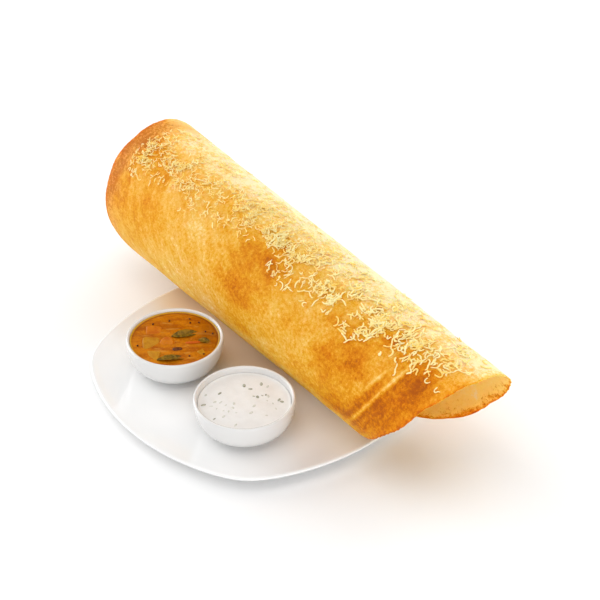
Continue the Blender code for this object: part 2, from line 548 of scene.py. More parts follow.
def new_group(name: str, inputs: dict, outputs: dict) -> tuple[bpy.types.NodeTree, Graph, dict, dict]:
    """Starts a node group with named sockets.

    Args:
        name: the group's name.
        inputs: socket type and default value, by name.
        outputs: socket type, by name.

    Returns:
        The group, its graph, its input sockets and its output sockets by name.
    """
    tree = bpy.data.node_groups.new(name, "ShaderNodeTree")
    for label, (kind, value) in inputs.items():
        socket = tree.interface.new_socket(label, in_out="INPUT", socket_type="NodeSocket" + kind)
        if value is not None:
            socket.default_value = value
    for label, kind in outputs.items():
        tree.interface.new_socket(label, in_out="OUTPUT", socket_type="NodeSocket" + kind)
    start, end = tree.nodes.new("NodeGroupInput"), tree.nodes.new("NodeGroupOutput")
    return tree, Graph(tree), {s.name: s for s in start.outputs}, {s.name: s for s in end.inputs}


@cache
def mottle_effect() -> bpy.types.NodeTree:
    """Uneven cooking: soft blotches with finer specks in them, as a number that adds to browning.

    Returns:
        The node group.
    """
    inputs = {"Vector": ("Vector", None), "Pitch": ("Float", 250.0), "Amount": ("Float", 0.2)}
    tree, graph, given, out = new_group("mottle", inputs, {"Shift": "Float"})
    coarse = graph.noise(given["Vector"], given["Pitch"], 3.0, 0.6)
    fine = graph.noise(given["Vector"], graph.times(given["Pitch"], 3.1), 2.0, 0.55)
    both = graph.add(graph.times(coarse, 1.3), graph.times(fine, 0.7))
    graph.put(out["Shift"], graph.times(graph.math("SUBTRACT", both, 1.0), given["Amount"]))
    return tree


@cache
def pits_effect() -> bpy.types.NodeTree:
    """Small round pits: a height that drops near scattered points, and a mask of the same places.

    Returns:
        The node group.
    """
    inputs = {"Vector": ("Vector", None), "Pitch": ("Float", 400.0), "Share": ("Float", 0.5)}
    tree, graph, given, out = new_group("pits", inputs, {"Height": "Float", "Mask": "Float"})
    distance = graph.cells(given["Vector"], given["Pitch"])
    size = graph.noise(given["Vector"], graph.times(given["Pitch"], 0.45), 1.0)
    reach = graph.times(size, given["Share"], 1.1)
    inside = graph.node("MapRange", {"Value": distance, "From Min": 0.0, "From Max": reach}).outputs["Result"]
    graph.put(out["Height"], inside)
    graph.put(out["Mask"], graph.math("SUBTRACT", 1.0, inside))
    return tree


@cache
def grain_effect() -> bpy.types.NodeTree:
    """Grain: noise at one pitch, and a roughness that rises with it.

    Returns:
        The node group.
    """
    inputs = {
        "Vector": ("Vector", None),
        "Pitch": ("Float", 400.0),
        "Detail": ("Float", 2.0),
        "Coarseness": ("Float", 0.5),
        "Roughness": ("Float", 0.3),
        "Spread": ("Float", 0.1),
    }
    tree, graph, given, out = new_group("grain", inputs, {"Grain": "Float", "Roughness": "Float"})
    noise = graph.noise(given["Vector"], given["Pitch"], given["Detail"], given["Coarseness"])
    roughest = graph.add(given["Roughness"], given["Spread"])
    graph.put(out["Grain"], noise)
    graph.put(out["Roughness"], graph.span(noise, 0.3, 0.7, given["Roughness"], roughest))
    return tree


def grained(
    graph: Graph, pitch: float, roughness: float, spread: float, detail: float = 2.0, coarseness: float = 0.5
) -> tuple[object, object]:
    """Places the grain effect in a material, on its own coordinates.

    Args:
        graph: the material's graph.
        pitch: features to the metre.
        roughness, spread: the least roughness, and how much the grain adds to it.
        detail, coarseness: the noise's own settings.

    Returns:
        The grain, from 0 to 1, and the roughness.
    """
    inputs = {"Vector": graph.here(), "Pitch": pitch, "Detail": detail, "Coarseness": coarseness}
    inputs |= {"Roughness": roughness, "Spread": spread}
    made = graph.group(grain_effect(), inputs)
    return made.outputs["Grain"], made.outputs["Roughness"]


# ---------------------------------------------------------------- finishes


@dataclass(frozen=True)
class CrepeFinish:
    """Cooked batter: pale gold to red-brown by how browned it is, streaked, mottled and finely pitted."""

    pale: Colour = (0.92, 0.75, 0.43)
    gold: Colour = (0.83, 0.515, 0.113)
    amber: Colour = (0.73, 0.350, 0.015)
    brown: Colour = (0.60, 0.188, 0.002)
    crisp: Colour = (0.40, 0.10, 0.006)
    inside: Colour = (0.99, 0.665, 0.165)
    toasted: Colour = (0.80, 0.43, 0.115)
    toasted_dark: Colour = (0.52, 0.185, 0.022)
    roughness: float = 0.5
    mottle_pitch: float = 380.0
    mottle_amount: float = 0.62
    blotch_pitch: float = 120.0
    blotch_amount: float = 0.30
    streak_pitch: float = 150.0
    streak_amount: float = 0.32
    pit_pitch: float = 620.0
    pit_share: float = 0.62
    pit_browning: float = 0.13
    blister_pitch: float = 300.0
    blister_share: float = 0.42
    blister_paling: float = 0.14
    grain_pitch: float = 900.0
    relief: float = 0.25 * MM

    def build(self) -> bpy.types.Material:
        """Browning comes from the sheet's own attribute; streaks, mottling, pits and blisters are laid over it.

        Returns:
            The material.
        """
        material, graph, shader = new_material("golden_crepe")
        sheet = graph.node("UVMap", uv_map="sheet").outputs["UV"]
        browning, inner, toast = (graph.attribute(name) for name in ("browning", "inner_face", "toast"))
        mottle = self.mottle(graph, sheet, self.mottle_pitch, self.mottle_amount)
        blotch = self.mottle(graph, sheet, self.blotch_pitch, self.blotch_amount)
        streak = self.mottle(graph, graph.attribute("ladle", "Vector"), self.streak_pitch, self.streak_amount)
        pits = self.pits(graph, sheet, self.pit_pitch, self.pit_share)
        blisters = self.pits(graph, sheet, self.blister_pitch, self.blister_share)["Mask"]

        dotted = graph.times(inner, graph.span(browning, 0.10, 0.34, 0.0, 0.5))
        level = graph.add(browning, mottle, blotch, streak)
        level = graph.add(level, graph.times(pits["Mask"], graph.add(dotted, self.pit_browning)))
        level = graph.math("SUBTRACT", level, graph.times(blisters, self.blister_paling))
        stops = [(0.0, self.pale), (0.25, self.gold), (0.52, self.amber), (0.78, self.brown), (1.0, self.crisp)]
        baked = graph.ramp(level, stops)

        level = graph.add(level, graph.times(toast, graph.times(mottle, 1.3)))
        level = graph.add(level, graph.times(toast, graph.times(pits["Mask"], 0.18)))
        grainy = graph.add(level, graph.times(mottle, 0.6))
        dull = graph.blend(graph.span(grainy, 0.22, 0.95), self.toasted, self.toasted_dark)
        baked = graph.blend(graph.span(toast, 0.0, 1.0, 0.0, 0.75), baked, dull)

        not_baked = graph.span(level, 0.22, 0.60, 0.85, 0.0)
        not_raw = graph.span(level, -0.25, 0.0, 0.3, 1.0)
        steamed = graph.times(inner, graph.times(not_baked, not_raw))

        grain = graph.noise(sheet, self.grain_pitch, 3.0, 0.6)
        height = graph.add(graph.times(pits["Height"], 0.6), graph.times(grain, 0.5), graph.times(blisters, 0.9))
        height = graph.times(height, graph.add(graph.times(inner, 0.9), 1.0))
        finish = {
            "Base Color": graph.blend(steamed, baked, self.inside),
            "Roughness": graph.span(level, 0.1, 0.9, self.roughness + 0.06, self.roughness - 0.06),
            "Normal": graph.bump(height, self.relief),
            "Specular IOR Level": 0.05,
            "Subsurface Weight": 1.0,
            "Subsurface Radius": (1.0, 0.55, 0.15),
            "Subsurface Scale": 3.5 * MM,
        }
        graph.fill(shader, finish)
        return material

    def mottle(self, graph: Graph, where: object, pitch: float, amount: float) -> object:
        """Places the mottle effect, and gives the number it adds to browning."""
        return graph.group(mottle_effect(), {"Vector": where, "Pitch": pitch, "Amount": amount}).outputs["Shift"]

    def pits(self, graph: Graph, where: object, pitch: float, share: float) -> object:
        """Places the pits effect, and gives its outputs: a height and a mask."""
        return graph.group(pits_effect(), {"Vector": where, "Pitch": pitch, "Share": share}).outputs


@dataclass(frozen=True)
class CheeseFinish:
    """Grated cheese: waxy cream-yellow, each shred a little different."""

    light: Colour = (1.0, 0.905, 0.48)
    deep: Colour = (1.0, 0.65, 0.08)
    roughness: float = 0.5
    grain_pitch: float = 900.0

    def build(self) -> bpy.types.Material:
        """Each shred's stored value, which carries painted shade on shreds low in crowded piles, picks a colour
        between the two, and its grain breaks it up.

        Returns:
            The material.
        """
        material, graph, shader = new_material("grated_cheese")
        grain, roughness = grained(graph, self.grain_pitch, self.roughness, 0.12)
        # the attribute carries painted shade for shreds lying low in crowded piles
        share = graph.add(graph.attribute("tone_and_painted_shade"), graph.times(graph.math("SUBTRACT", grain, 0.5), 0.5))
        finish = {
            "Base Color": graph.blend(graph.span(share, 0.0, 1.0), self.light, self.deep),
            "Roughness": roughness,
            "Normal": graph.bump(grain, 0.10 * MM, 0.5),
            "Specular IOR Level": 0.1,
        }
        graph.fill(shader, finish)
        return material


@dataclass(frozen=True)
class PorcelainFinish:
    """White glazed porcelain: a clear glaze over a faintly uneven body, with painted warm bounce light and shade from
    the roll beside it.
    """

    name: str = "white_porcelain"
    colour: Colour = (0.93, 0.93, 0.927)
    shade: Colour = (0.91, 0.91, 0.907)
    # painted warm bounce light and shade from the roll
    painted_bounce_colour: Colour = (0.95, 0.78, 0.58)
    roughness: float = 0.16
    drift_pitch: float = 22.0
    fine_pitch: float = 380.0

    def build(self) -> bpy.types.Material:
        """Slow noise varies the white and the gloss, as a hand-dipped glaze does.

        Returns:
            The material.
        """
        material, graph, shader = new_material(self.name)
        drift, roughness = grained(graph, self.drift_pitch, self.roughness, 0.08)
        fine = graph.noise(graph.here(), self.fine_pitch, 2.0)
        glaze = graph.blend(drift, self.colour, self.shade)
        finish = {
            # painted warm bounce light and shade from the roll, blended into the glaze beside it
            "Base Color": graph.blend(graph.span(graph.attribute("painted_bounce"), 0.0, 1.0), glaze, self.painted_bounce_colour),
            "Roughness": roughness,
            "Normal": graph.bump(graph.add(drift, graph.times(fine, 0.02)), 0.3 * MM, 0.35),
            "Coat Weight": 0.4,
            "Coat Roughness": 0.06,
        }
        graph.fill(shader, finish)
        return material


@dataclass(frozen=True)
class SambarFinish:
    """Thin lentil stew: clear orange-brown liquid over lentil grains, yellower where it thins at the wall."""

    deep: Colour = (0.38, 0.092, 0.001)
    warm: Colour = (0.62, 0.205, 0.003)
    pale: Colour = (0.62, 0.28, 0.045)
    # dark colour for painted shade, and a little random murkiness
    murk_and_painted_shade: Colour = (0.24, 0.062, 0.001)
    thin: Colour = (0.66, 0.40, 0.035)
    roughness: float = 0.14
    swirl_pitch: float = 150.0
    onion_pitch: float = 260.0
    lentil_pitch: float = 620.0

    def build(self) -> bpy.types.Material:
        """Stirred streaks of lentils and onion lighten the liquid; painted shade darkens it towards one side and in a
        ring inside the wall, with a little random murkiness; and it thins at the wall.

        Returns:
            The material.
        """
        material, graph, shader = new_material("sambar_liquid")
        stirred = graph.attribute("stirred", "Vector")
        swirl = graph.noise(stirred, self.swirl_pitch, 4.0, 0.6)
        onion = graph.noise(stirred, self.onion_pitch, 2.0, 0.5)
        grains, roughness = grained(graph, self.lentil_pitch, self.roughness, 0.1, coarseness=0.6)
        lentils = graph.add(graph.times(swirl, 0.75), graph.times(grains, 0.35))
        body = graph.blend(graph.span(lentils, 0.40, 0.72), self.deep, self.warm)
        body = graph.blend(graph.span(onion, 0.58, 0.70, 0.0, 0.55), body, self.pale)
        # painted shade, with a little random murkiness
        body = graph.blend(graph.span(graph.attribute("murk_and_painted_shade"), 0.0, 1.0), body, self.murk_and_painted_shade)
        finish = {
            "Base Color": graph.blend(graph.span(graph.attribute("wall"), 0.62, 1.0), body, self.thin),
            "Roughness": roughness,
            "Normal": graph.bump(lentils, 0.2 * MM, 0.35),
            "Specular IOR Level": 0.12,
        }
        graph.fill(shader, finish)
        return material


@dataclass(frozen=True)
class ChutneyFinish:
    """Coconut chutney: off-white paste with fine grains of coconut."""

    light: Colour = (0.86, 0.857, 0.845)
    shade: Colour = (0.81, 0.802, 0.785)
    roughness: float = 0.34
    blotch_pitch: float = 130.0
    grain_pitch: float = 1100.0

    def build(self) -> bpy.types.Material:
        """Soft blotches and fine grains change the white a little and roughen its skin.

        Returns:
            The material.
        """
        material, graph, shader = new_material("coconut_chutney")
        blotch = graph.noise(graph.here(), self.blotch_pitch, 3.0)
        grain, roughness = grained(graph, self.grain_pitch, self.roughness, 0.1)
        share = graph.add(graph.times(blotch, 0.8), graph.times(grain, 0.3))
        finish = {
            "Base Color": graph.blend(graph.span(share, 0.35, 0.8), self.light, self.shade),
            "Roughness": roughness,
            "Normal": graph.bump(share, 0.25 * MM, 0.5),
        }
        graph.fill(shader, finish)
        return material


@dataclass(frozen=True)
class WetFinish:
    """A cooked vegetable, leaf or seed: two tones in blotches under a thin wet coat."""

    name: str
    light: Colour
    deep: Colour
    pitch: float
    roughness: float
    coat: float

    def build(self) -> bpy.types.Material:
        """Grain picks between the two tones and dents the skin.

        Returns:
            The material.
        """
        material, graph, shader = new_material(self.name)
        blotch, roughness = grained(graph, self.pitch, self.roughness, 0.12, detail=3.0, coarseness=0.6)
        finish = {
            "Base Color": graph.blend(graph.span(blotch, 0.35, 0.65), self.light, self.deep),
            "Roughness": roughness,
            "Normal": graph.bump(blotch, 0.3 * MM, 0.6),
            "Specular IOR Level": 0.12,
            "Coat Weight": self.coat,
            "Coat Roughness": 0.05,
        }
        graph.fill(shader, finish)
        return material


# ---------------------------------------------------------------- plate and bowls


@dataclass
class Plate:
    """A porcelain plate with four bulging sides and soft corners, on a foot ring."""

    corner: float = 135.0 * MM
    side_radius: float = 174.7 * MM
    sharpness: float = 44.0
    turn: float = radians(3.9)
    well: float = 8.0 * MM
    rim: float = 12.0 * MM
    steps: int = 240
    spacing: float = 2.5 * MM
    lip_spacing: float = 0.5 * MM
    shrink: float = 0.9996
    middle: Array = field(init=False)

    def __post_init__(self) -> None:
        """The plate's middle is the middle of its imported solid."""
        low, high = (np.array(corner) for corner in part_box("plate"))
        self.middle = (low + high) / 2
        self.middle[2] = 0.0

    def side_distance(self, angle: Array) -> Array:
        """Distance from the middle to the edge: a soft minimum of four arcs, each met along the angle.

        Args:
            angle: directions from the middle.

        Returns:
            The distance to the edge in each direction.
        """
        half_side = self.corner * sin(pi / 4)
        arc_centre = half_side - np.sqrt(self.side_radius**2 - half_side**2)
        total = 0.0
        for quarter in range(4):
            lean = np.cos(angle - quarter * pi / 2)
            arc = arc_centre * lean + np.sqrt(arc_centre**2 * (lean**2 - 1) + self.side_radius**2)
            total = total + arc**-self.sharpness
        return total ** (-1 / self.sharpness)

    def half_width(self) -> float:
        """Half the width across two sides."""
        return float(self.side_distance(np.array(0.0)))

    def profile(self) -> Profile:
        """The section from the middle of the well out over the rim and back under to the middle.

        Returns:
            (radius, height) pairs.
        """
        edge = self.half_width()
        top = [
            (0.0, self.well),
            (0.45 * edge, self.well),
            (0.70 * edge, self.well),
            (0.84 * edge, self.well + 0.6 * MM),
            (0.94 * edge, self.rim - 1.5 * MM),
            (edge - 1.9 * MM, self.rim - 0.1 * MM),
        ]
        lip = [
            (edge - 1.3 * MM, self.rim),
            (edge - 0.5 * MM, self.rim - 0.25 * MM),
            (edge, self.rim - 1.2 * MM),
            (edge - 0.7 * MM, self.rim - 2.6 * MM),
        ]
        under = [
            (0.94 * edge, self.rim - 5.0 * MM),
            (0.82 * edge, 4.6 * MM),
            (82.0 * MM, 3.4 * MM),
            (80.6 * MM, 1.6 * MM),
            (79.6 * MM, 0.0),
            (74.4 * MM, 0.0),
            (73.2 * MM, 1.4 * MM),
            (71.5 * MM, 2.4 * MM),
            (35.0 * MM, 2.4 * MM),
            (0.0, 2.4 * MM),
        ]
        curves = [rounded_profile(top, self.spacing), rounded_profile(lip, self.lip_spacing)]
        return curves[0][:-1] + curves[1][:-1] + rounded_profile(under, self.spacing)

    def painted_bounce_strength(self, points: Array) -> Array:
        """How strong the painted warm bounce light and shade from the roll is: it rises towards the roll in two soft
        steps, and ends behind it and beside it.

        Args:
            points: the plate's points, from its middle.

        Returns:
            The painted bounce's strength, from 0 to 0.7.
        """
        x, y, _ = points.T
        near_roll = 0.25 * smoothstep(y, -48 * MM, -22 * MM) + 0.45 * smoothstep(y, -30 * MM, -10 * MM)
        beside = 1 - smoothstep(np.abs(x + 45 * MM), 60 * MM, 110 * MM)
        return near_roll * ((1 - smoothstep(y, 15 * MM, 40 * MM)) * beside)

    def build(self, finish: bpy.types.Material) -> bpy.types.Object:
        """Turns the section round the middle, then stretches each radius to the four-sided outline.

        Args:
            finish: the plate's material.

        Returns:
            The plate.
        """
        points, faces = turned_surface(self.profile(), self.steps)
        angle = np.arctan2(points[:, 1], points[:, 0])
        stretch = self.side_distance(angle - self.turn) / self.half_width()
        points[:, :2] *= self.shrink * stretch[:, None]
        points[:, 2] = np.maximum(points[:, 2], 0.0)
        piece = add_piece("porcelain_plate", points + self.middle, faces, finish)
        # painted warm bounce light and shade beside the roll
        add_attribute(piece, "painted_bounce", self.painted_bounce_strength(points))
        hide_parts("plate")
        return piece


@dataclass
class Bowl:
    """One dip bowl: low and round-bellied, with a soft rim."""

    food: str
    height: float = 27.0 * MM
    radius: float = 37.5 * MM
    steps: int = 128
    rings: int = 56
    spacing: float = 0.8 * MM
    clearance: float = 0.15 * MM
    filling_spacing: float = 2.5 * MM
    filling_bottom: float = 3.55 * MM
    foot: Array = field(init=False)
    level: float = field(init=False)

    def __post_init__(self) -> None:
        """The bowl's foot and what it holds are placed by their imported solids."""
        low, high = (np.array(corner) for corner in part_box(self.food + "_bowl"))
        self.foot = np.array([(low[0] + high[0]) / 2, (low[1] + high[1]) / 2, low[2]])
        self.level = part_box(self.food)[1][2] - low[2]

    def inside(self) -> Profile:
        """The inner wall from its middle to just under the rim.

        Returns:
            (radius, height) pairs.
        """
        return [
            (0.0, 3.4 * MM),
            (14.0 * MM, 3.7 * MM),
            (22.0 * MM, 5.4 * MM),
            (28.0 * MM, 9.2 * MM),
            (31.8 * MM, 14.0 * MM),
            (34.0 * MM, 20.0 * MM),
            (34.9 * MM, self.height - 1.4 * MM),
        ]

    def outside(self) -> Profile:
        """Over the rim, down the belly and across the foot.

        Returns:
            (radius, height) pairs.
        """
        return [
            (35.5 * MM, self.height - 0.35 * MM),
            (36.4 * MM, self.height),
            (37.2 * MM, self.height - 0.5 * MM),
            (self.radius, self.height - 1.8 * MM),
            (37.0 * MM, 19.5 * MM),
            (35.2 * MM, 12.0 * MM),
            (32.2 * MM, 6.6 * MM),
            (28.0 * MM, 3.0 * MM),
            (24.2 * MM, 1.5 * MM),
            (22.9 * MM, 0.0),
            (19.4 * MM, 0.0),
            (18.2 * MM, 1.2 * MM),
            (0.0, 1.2 * MM),
        ]

    def wall_radius(self, height: float) -> float:
        """The inner wall's radius at a height above the foot."""
        curve = np.array(rounded_profile(self.inside(), self.spacing))
        return float(np.interp(height, curve[:, 1], curve[:, 0]))

    def build(self, finish: bpy.types.Material) -> bpy.types.Object:
        """Turns the bowl's whole section round its axis.

        Args:
            finish: the bowl's material.

        Returns:
            The bowl.
        """
        section = rounded_profile(self.inside() + self.outside(), self.spacing)
        points, faces = turned_surface(section, self.steps)
        piece = add_piece(self.food + "_dip_bowl", points + self.foot, faces, finish)
        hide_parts(self.food + "_bowl")
        return piece

    def filling(self, relief: Callable[[Array, Array], Array]) -> tuple[Array, list[Array], Array]:
        """What fills the bowl: a top with relief, then down the inner wall to the bottom, just clear of it.

        Args:
            relief: a function of x and y from the bowl's axis, which gives the top's height over the level.

        Returns:
            The points, the faces, and how near each top point is to the wall, from 0 to 1.
        """
        edge = self.wall_radius(self.level) - self.clearance
        share = np.arange(1, self.rings + 1) / self.rings
        top = [(0.0, self.level), *((edge * s, self.level) for s in share)]
        inside = rounded_profile(self.inside(), self.filling_spacing)
        under = [(r, z) for r, z in inside if 0 < r and z < self.level - 1.2 * MM][::-1]
        wall = [(r - self.clearance, z + self.clearance) for r, z in under]
        points, faces = turned_surface([*top, *wall, (0.0, self.filling_bottom)], self.steps)
        on_top = points[:, 2] > self.level - 1e-7
        radius = np.hypot(points[:, 0], points[:, 1])
        points[:, 2] += np.where(on_top, relief(points[:, 0], points[:, 1]), 0.0)
        near_wall = np.where(on_top, smoothstep(radius, edge - 3.2 * MM, edge), 1.0)
        return points + self.foot, faces, near_wall


# ---------------------------------------------------------------- what the bowls hold


@dataclass
class Sambar:
    """Sambar in its bowl: a liquid with a meniscus, stirred along the way the spoon went."""

    bowl: Bowl
    spoon: tuple[float, float] = (0.6, 0.8)
    drawn_out: float = 0.30
    seed: int = 11

    def relief(self, x: Array, y: Array) -> Array:
        """Low ripples over the lentils, rising in a meniscus where the liquid meets the wall.

        Args:
            x, y: places from the bowl's axis.

        Returns:
            The height over the sambar's level.
        """
        radius = np.hypot(x, y)
        edge = self.bowl.wall_radius(self.bowl.level)
        ripples = 0.22 * MM * cloud(x, y, 9 * MM, self.seed)
        meniscus = 0.9 * MM * smoothstep(radius, edge - 1.8 * MM, edge)
        return ripples * (1 - smoothstep(radius, edge - 4 * MM, edge)) + meniscus

    def build(self, finish: bpy.types.Material) -> bpy.types.Object:
        """Builds the liquid, and stores on it its painted shade with a little random murkiness, how it was stirred and
        how near the wall it is.

        Args:
            finish: the sambar's material.

        Returns:
            The liquid.
        """
        points, faces, wall = self.bowl.filling(self.relief)
        piece = add_piece("sambar_liquid", points, faces, finish)
        x, y, z = (points - self.bowl.foot).T
        with_spoon, across = self.spoon[0] * x + self.spoon[1] * y, self.spoon[0] * y - self.spoon[1] * x
        # painted shade: darker towards the wall along the spoon's way, and in a ring just inside the wall that is
        # stronger on one side; the noise is random murkiness
        far = smoothstep(with_spoon, 2 * MM, 30 * MM) * smoothstep(across, -26 * MM, 6 * MM)
        ring = smoothstep(wall, 0.02, 0.40) * (1 - smoothstep(wall, 0.5, 0.8))
        ring = ring * (0.35 + 0.65 * smoothstep(across, -20 * MM, 22 * MM))
        murk_and_painted_shade = 0.55 * far + 0.75 * ring + 0.12 * cloud(x, y, 7 * MM, self.seed + 5)
        add_attribute(piece, "murk_and_painted_shade", np.clip(murk_and_painted_shade, 0, 0.9))
        add_attribute(piece, "stirred", np.stack([self.drawn_out * with_spoon, across, z], axis=-1))
        add_attribute(piece, "wall", wall)
        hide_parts("sambar")
        return piece


@dataclass
class Chutney:
    """Coconut chutney in its bowl: a thick paste with a spooned top."""

    bowl: Bowl
    seed: int = 23

    def relief(self, x: Array, y: Array) -> Array:
        """A spoon's broad swells with finer lumps on them, which fade where the paste rises at the wall.

        Args:
            x, y: places from the bowl's axis.

        Returns:
            The height over the chutney's level.
        """
        radius = np.hypot(x, y)
        edge = self.bowl.wall_radius(self.bowl.level)
        lumps = 0.5 * MM * cloud(x, y, 16 * MM, self.seed) + 0.12 * MM * cloud(x, y, 3.5 * MM, self.seed + 7)
        raised = 0.6 * MM * smoothstep(radius, edge - 2.5 * MM, edge) ** 2
        return lumps * (1 - smoothstep(radius, edge - 5 * MM, edge)) + raised

    def build(self, finish: bpy.types.Material) -> bpy.types.Object:
        """Builds the paste: the bowl's filling with the relief on top.

        Args:
            finish: the chutney's material.

        Returns:
            The paste.
        """
        points, faces, _ = self.bowl.filling(self.relief)
        piece = add_piece("chutney_paste", points, faces, finish)
        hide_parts("chutney")
        return piece


@dataclass(frozen=True)
class Leaf:
    """A curry leaf: its place from the bowl's axis and its size in millimetres, its heading and its tip in degrees."""

    x: float
    y: float
    length: float
    width: float
    heading: float
    tip: float


@dataclass
class SambarVegetables:
    """What floats in the sambar: carrot, gourd, curry leaves, a strip of chilli, tamarind and mustard seeds.

    Places are x and y from the bowl's axis, in millimetres.
    """

    bowl: Bowl
    carrot_at: tuple[float, float] = (-19.0, -7.0)
    gourd_at: tuple[float, float] = (-6.5, -17.5)
    slice_at: tuple[float, float] = (0.5, -7.5)
    chilli_at: tuple[float, float] = (11.5, 9.5)
    tamarind_at: tuple[float, float] = (11.5, -5.5)
    leaves: tuple[Leaf, ...] = (
        Leaf(0.5, 10.5, 24.0, 7.6, 68.0, 9.0),
        Leaf(19.5, -15.0, 24.0, 7.4, 62.0, -8.0),
        Leaf(16.0, 17.0, 11.0, 5.0, 40.0, 10.0),
    )
    seeds_at: Spots = (
        (-22, 9.5), (-14.5, 23.5), (-10, 21), (-10, -27.5), (6.5, 24),
        (29, 7), (-6, 26.5), (24.5, -3), (-26, -3), (12, 27),
    )  # fmt: skip
    seed: int = 31

    def at(self, x: float, y: float, height: float) -> Array:
        """A place in the bowl: x and y from its axis in millimetres, and a height over the liquid."""
        return self.bowl.foot + np.array([x * MM, y * MM, self.bowl.level + height * MM])

    def dented(self, points: Array, amount: float, seed: int) -> Array:
        """Points moved in and out from their middle by noise, as cut and boiled pieces are uneven.

        Args:
            points: the piece's points.
            amount: how far they move, in millimetres.
            seed: which noise to use.

        Returns:
            The moved points.
        """
        middle = points.mean(0)
        spread = cloud(points[:, 0] + points[:, 2], points[:, 1] - points[:, 2], 5 * MM, seed)
        return points + unit(points - middle) * (amount * MM * spread)[:, None]

    def blocks(self) -> None:
        """A block of carrot and one of gourd, each just breaking the surface, and more gourd below."""
        carrot, faces = soft_block((12.5 * MM, 10.0 * MM, 7.0 * MM), 0.30)
        carrot = turned_and_placed(carrot, (radians(8), radians(6), radians(58)), self.at(*self.carrot_at, -2.5))
        orange = WetFinish("boiled_carrot", (0.62, 0.19, 0.003), (0.50, 0.115, 0.001), 170.0, 0.4, 0.05).build()
        add_piece("carrot_block", self.dented(carrot, 0.35, 301), faces, orange)
        self.carrot_slice(orange)
        yellow = WetFinish("boiled_gourd", (0.55, 0.25, 0.008), (0.46, 0.175, 0.004), 210.0, 0.4, 0.05).build()
        parts = []
        for place, size, turns, low in (
            (self.gourd_at, (14.0, 14.0, 7.0), (10, 9, 60), -2.7),
            ((6.5, -25.0), (13.0, 11.0, 6.0), (8, -8, 40), -2.75),
            ((25.5, 8.5), (9.0, 6.5, 5.0), (4, 10, 100), -2.35),
        ):
            block, block_faces = soft_block(tuple(side * MM for side in size), 0.34)
            block = turned_and_placed(block, tuple(radians(turn) for turn in turns), self.at(*place, low))
            parts.append((self.dented(block, 0.4, 311 + len(parts)), block_faces))
        add_piece("gourd_blocks", *joined(parts), yellow)

    def carrot_slice(self, finish: bpy.types.Material) -> None:
        """A round slice that tips up out of the liquid: a soft disc with a dished core.

        Args:
            finish: the carrot's material.
        """
        radius, half = 5.6 * MM, 1.5 * MM
        shoulder = radius - 0.9 * MM
        section = [(0.0, half - 0.35 * MM), (1.6 * MM, half - 0.3 * MM), (2.3 * MM, half), (shoulder, half)]
        section += [(radius, 0.3 * MM), (radius, -0.5 * MM), (shoulder, -half), (0.0, -half)]
        points, faces = turned_surface(rounded_profile(section, 0.45 * MM), 40)
        points = turned_and_placed(points, (radians(20), radians(24), 0.0), self.at(*self.slice_at, -0.85))
        add_piece("carrot_slice", points, faces, finish)

    def leaf_shape(self, leaf: Leaf) -> Surface:
        """A leaf on a grid: its half width is a sine to a power along it, it arches, and its midrib is a fold.

        Args:
            leaf: the leaf.

        Returns:
            The leaf's points about its middle, and its faces.
        """
        rows, columns = 34, 13
        t, s = np.meshgrid(np.linspace(0.004, 0.996, rows), np.linspace(-1, 1, columns), indexing="ij")
        half = 0.5 * leaf.width * np.sin(pi * t**0.85) ** 0.85
        x, y = (t - 0.5) * leaf.length, s * half
        z = 0.9 * np.sin(pi * t) - 0.5 + 0.35 * np.abs(s) * half
        z = z - 0.25 * np.exp(-((s / 0.12) ** 2)) + 0.12 * np.sin(9 * t * pi) * np.abs(s)
        top = np.stack([x, y, z + 0.15], axis=-1).reshape(-1, 3)
        under = np.stack([x, y, z - 0.15], axis=-1).reshape(-1, 3)
        quads, loop = grid_quads(rows, columns), grid_border(rows, columns)
        following = np.roll(loop, -1)
        rim = np.stack([loop, following, following + rows * columns, loop + rows * columns], axis=-1)
        points = np.concatenate([top, under]) * MM
        return points, [np.concatenate([quads[:, ::-1], quads + rows * columns, rim])]

    def curry_leaves(self) -> None:
        """The leaves, half sunk: each leaf turned to its heading, tipped, and put in its place."""
        parts = []
        for leaf in self.leaves:
            points, faces = self.leaf_shape(leaf)
            turns = (radians(leaf.tip), radians(4), radians(leaf.heading))
            parts.append((turned_and_placed(points, turns, self.at(leaf.x, leaf.y, -0.05)), faces))
        finish = WetFinish("cooked_leaf", (0.31, 0.160, 0.006), (0.095, 0.058, 0.003), 330.0, 0.35, 0.08)
        add_piece("curry_leaves", *joined(parts), finish.build())

    def chilli_strip(self) -> None:
        """A curved strip of red chilli: an oval carried along an arc that dips at both ends."""
        t = np.linspace(-1, 1, 18)
        path = np.stack([1.1 * (1 - t**2), 7.0 * t, 0.35 - 0.9 * t**2], axis=-1) * MM
        path = turned_and_placed(path, (0.0, 0.0, radians(-30)), self.at(*self.chilli_at, 0.0))
        up = np.broadcast_to([0.0, 0.0, 1.0], path.shape)
        width = 2.7 * MM * (1 - 0.6 * t**4)
        points, faces = swept_strands(path[None], up[None], width[None], 0.5 * width[None], 10)
        finish = WetFinish("red_chilli", (0.60, 0.115, 0.003), (0.48, 0.075, 0.002), 200.0, 0.35, 0.08)
        add_piece("chilli_strip", points, faces, finish.build())

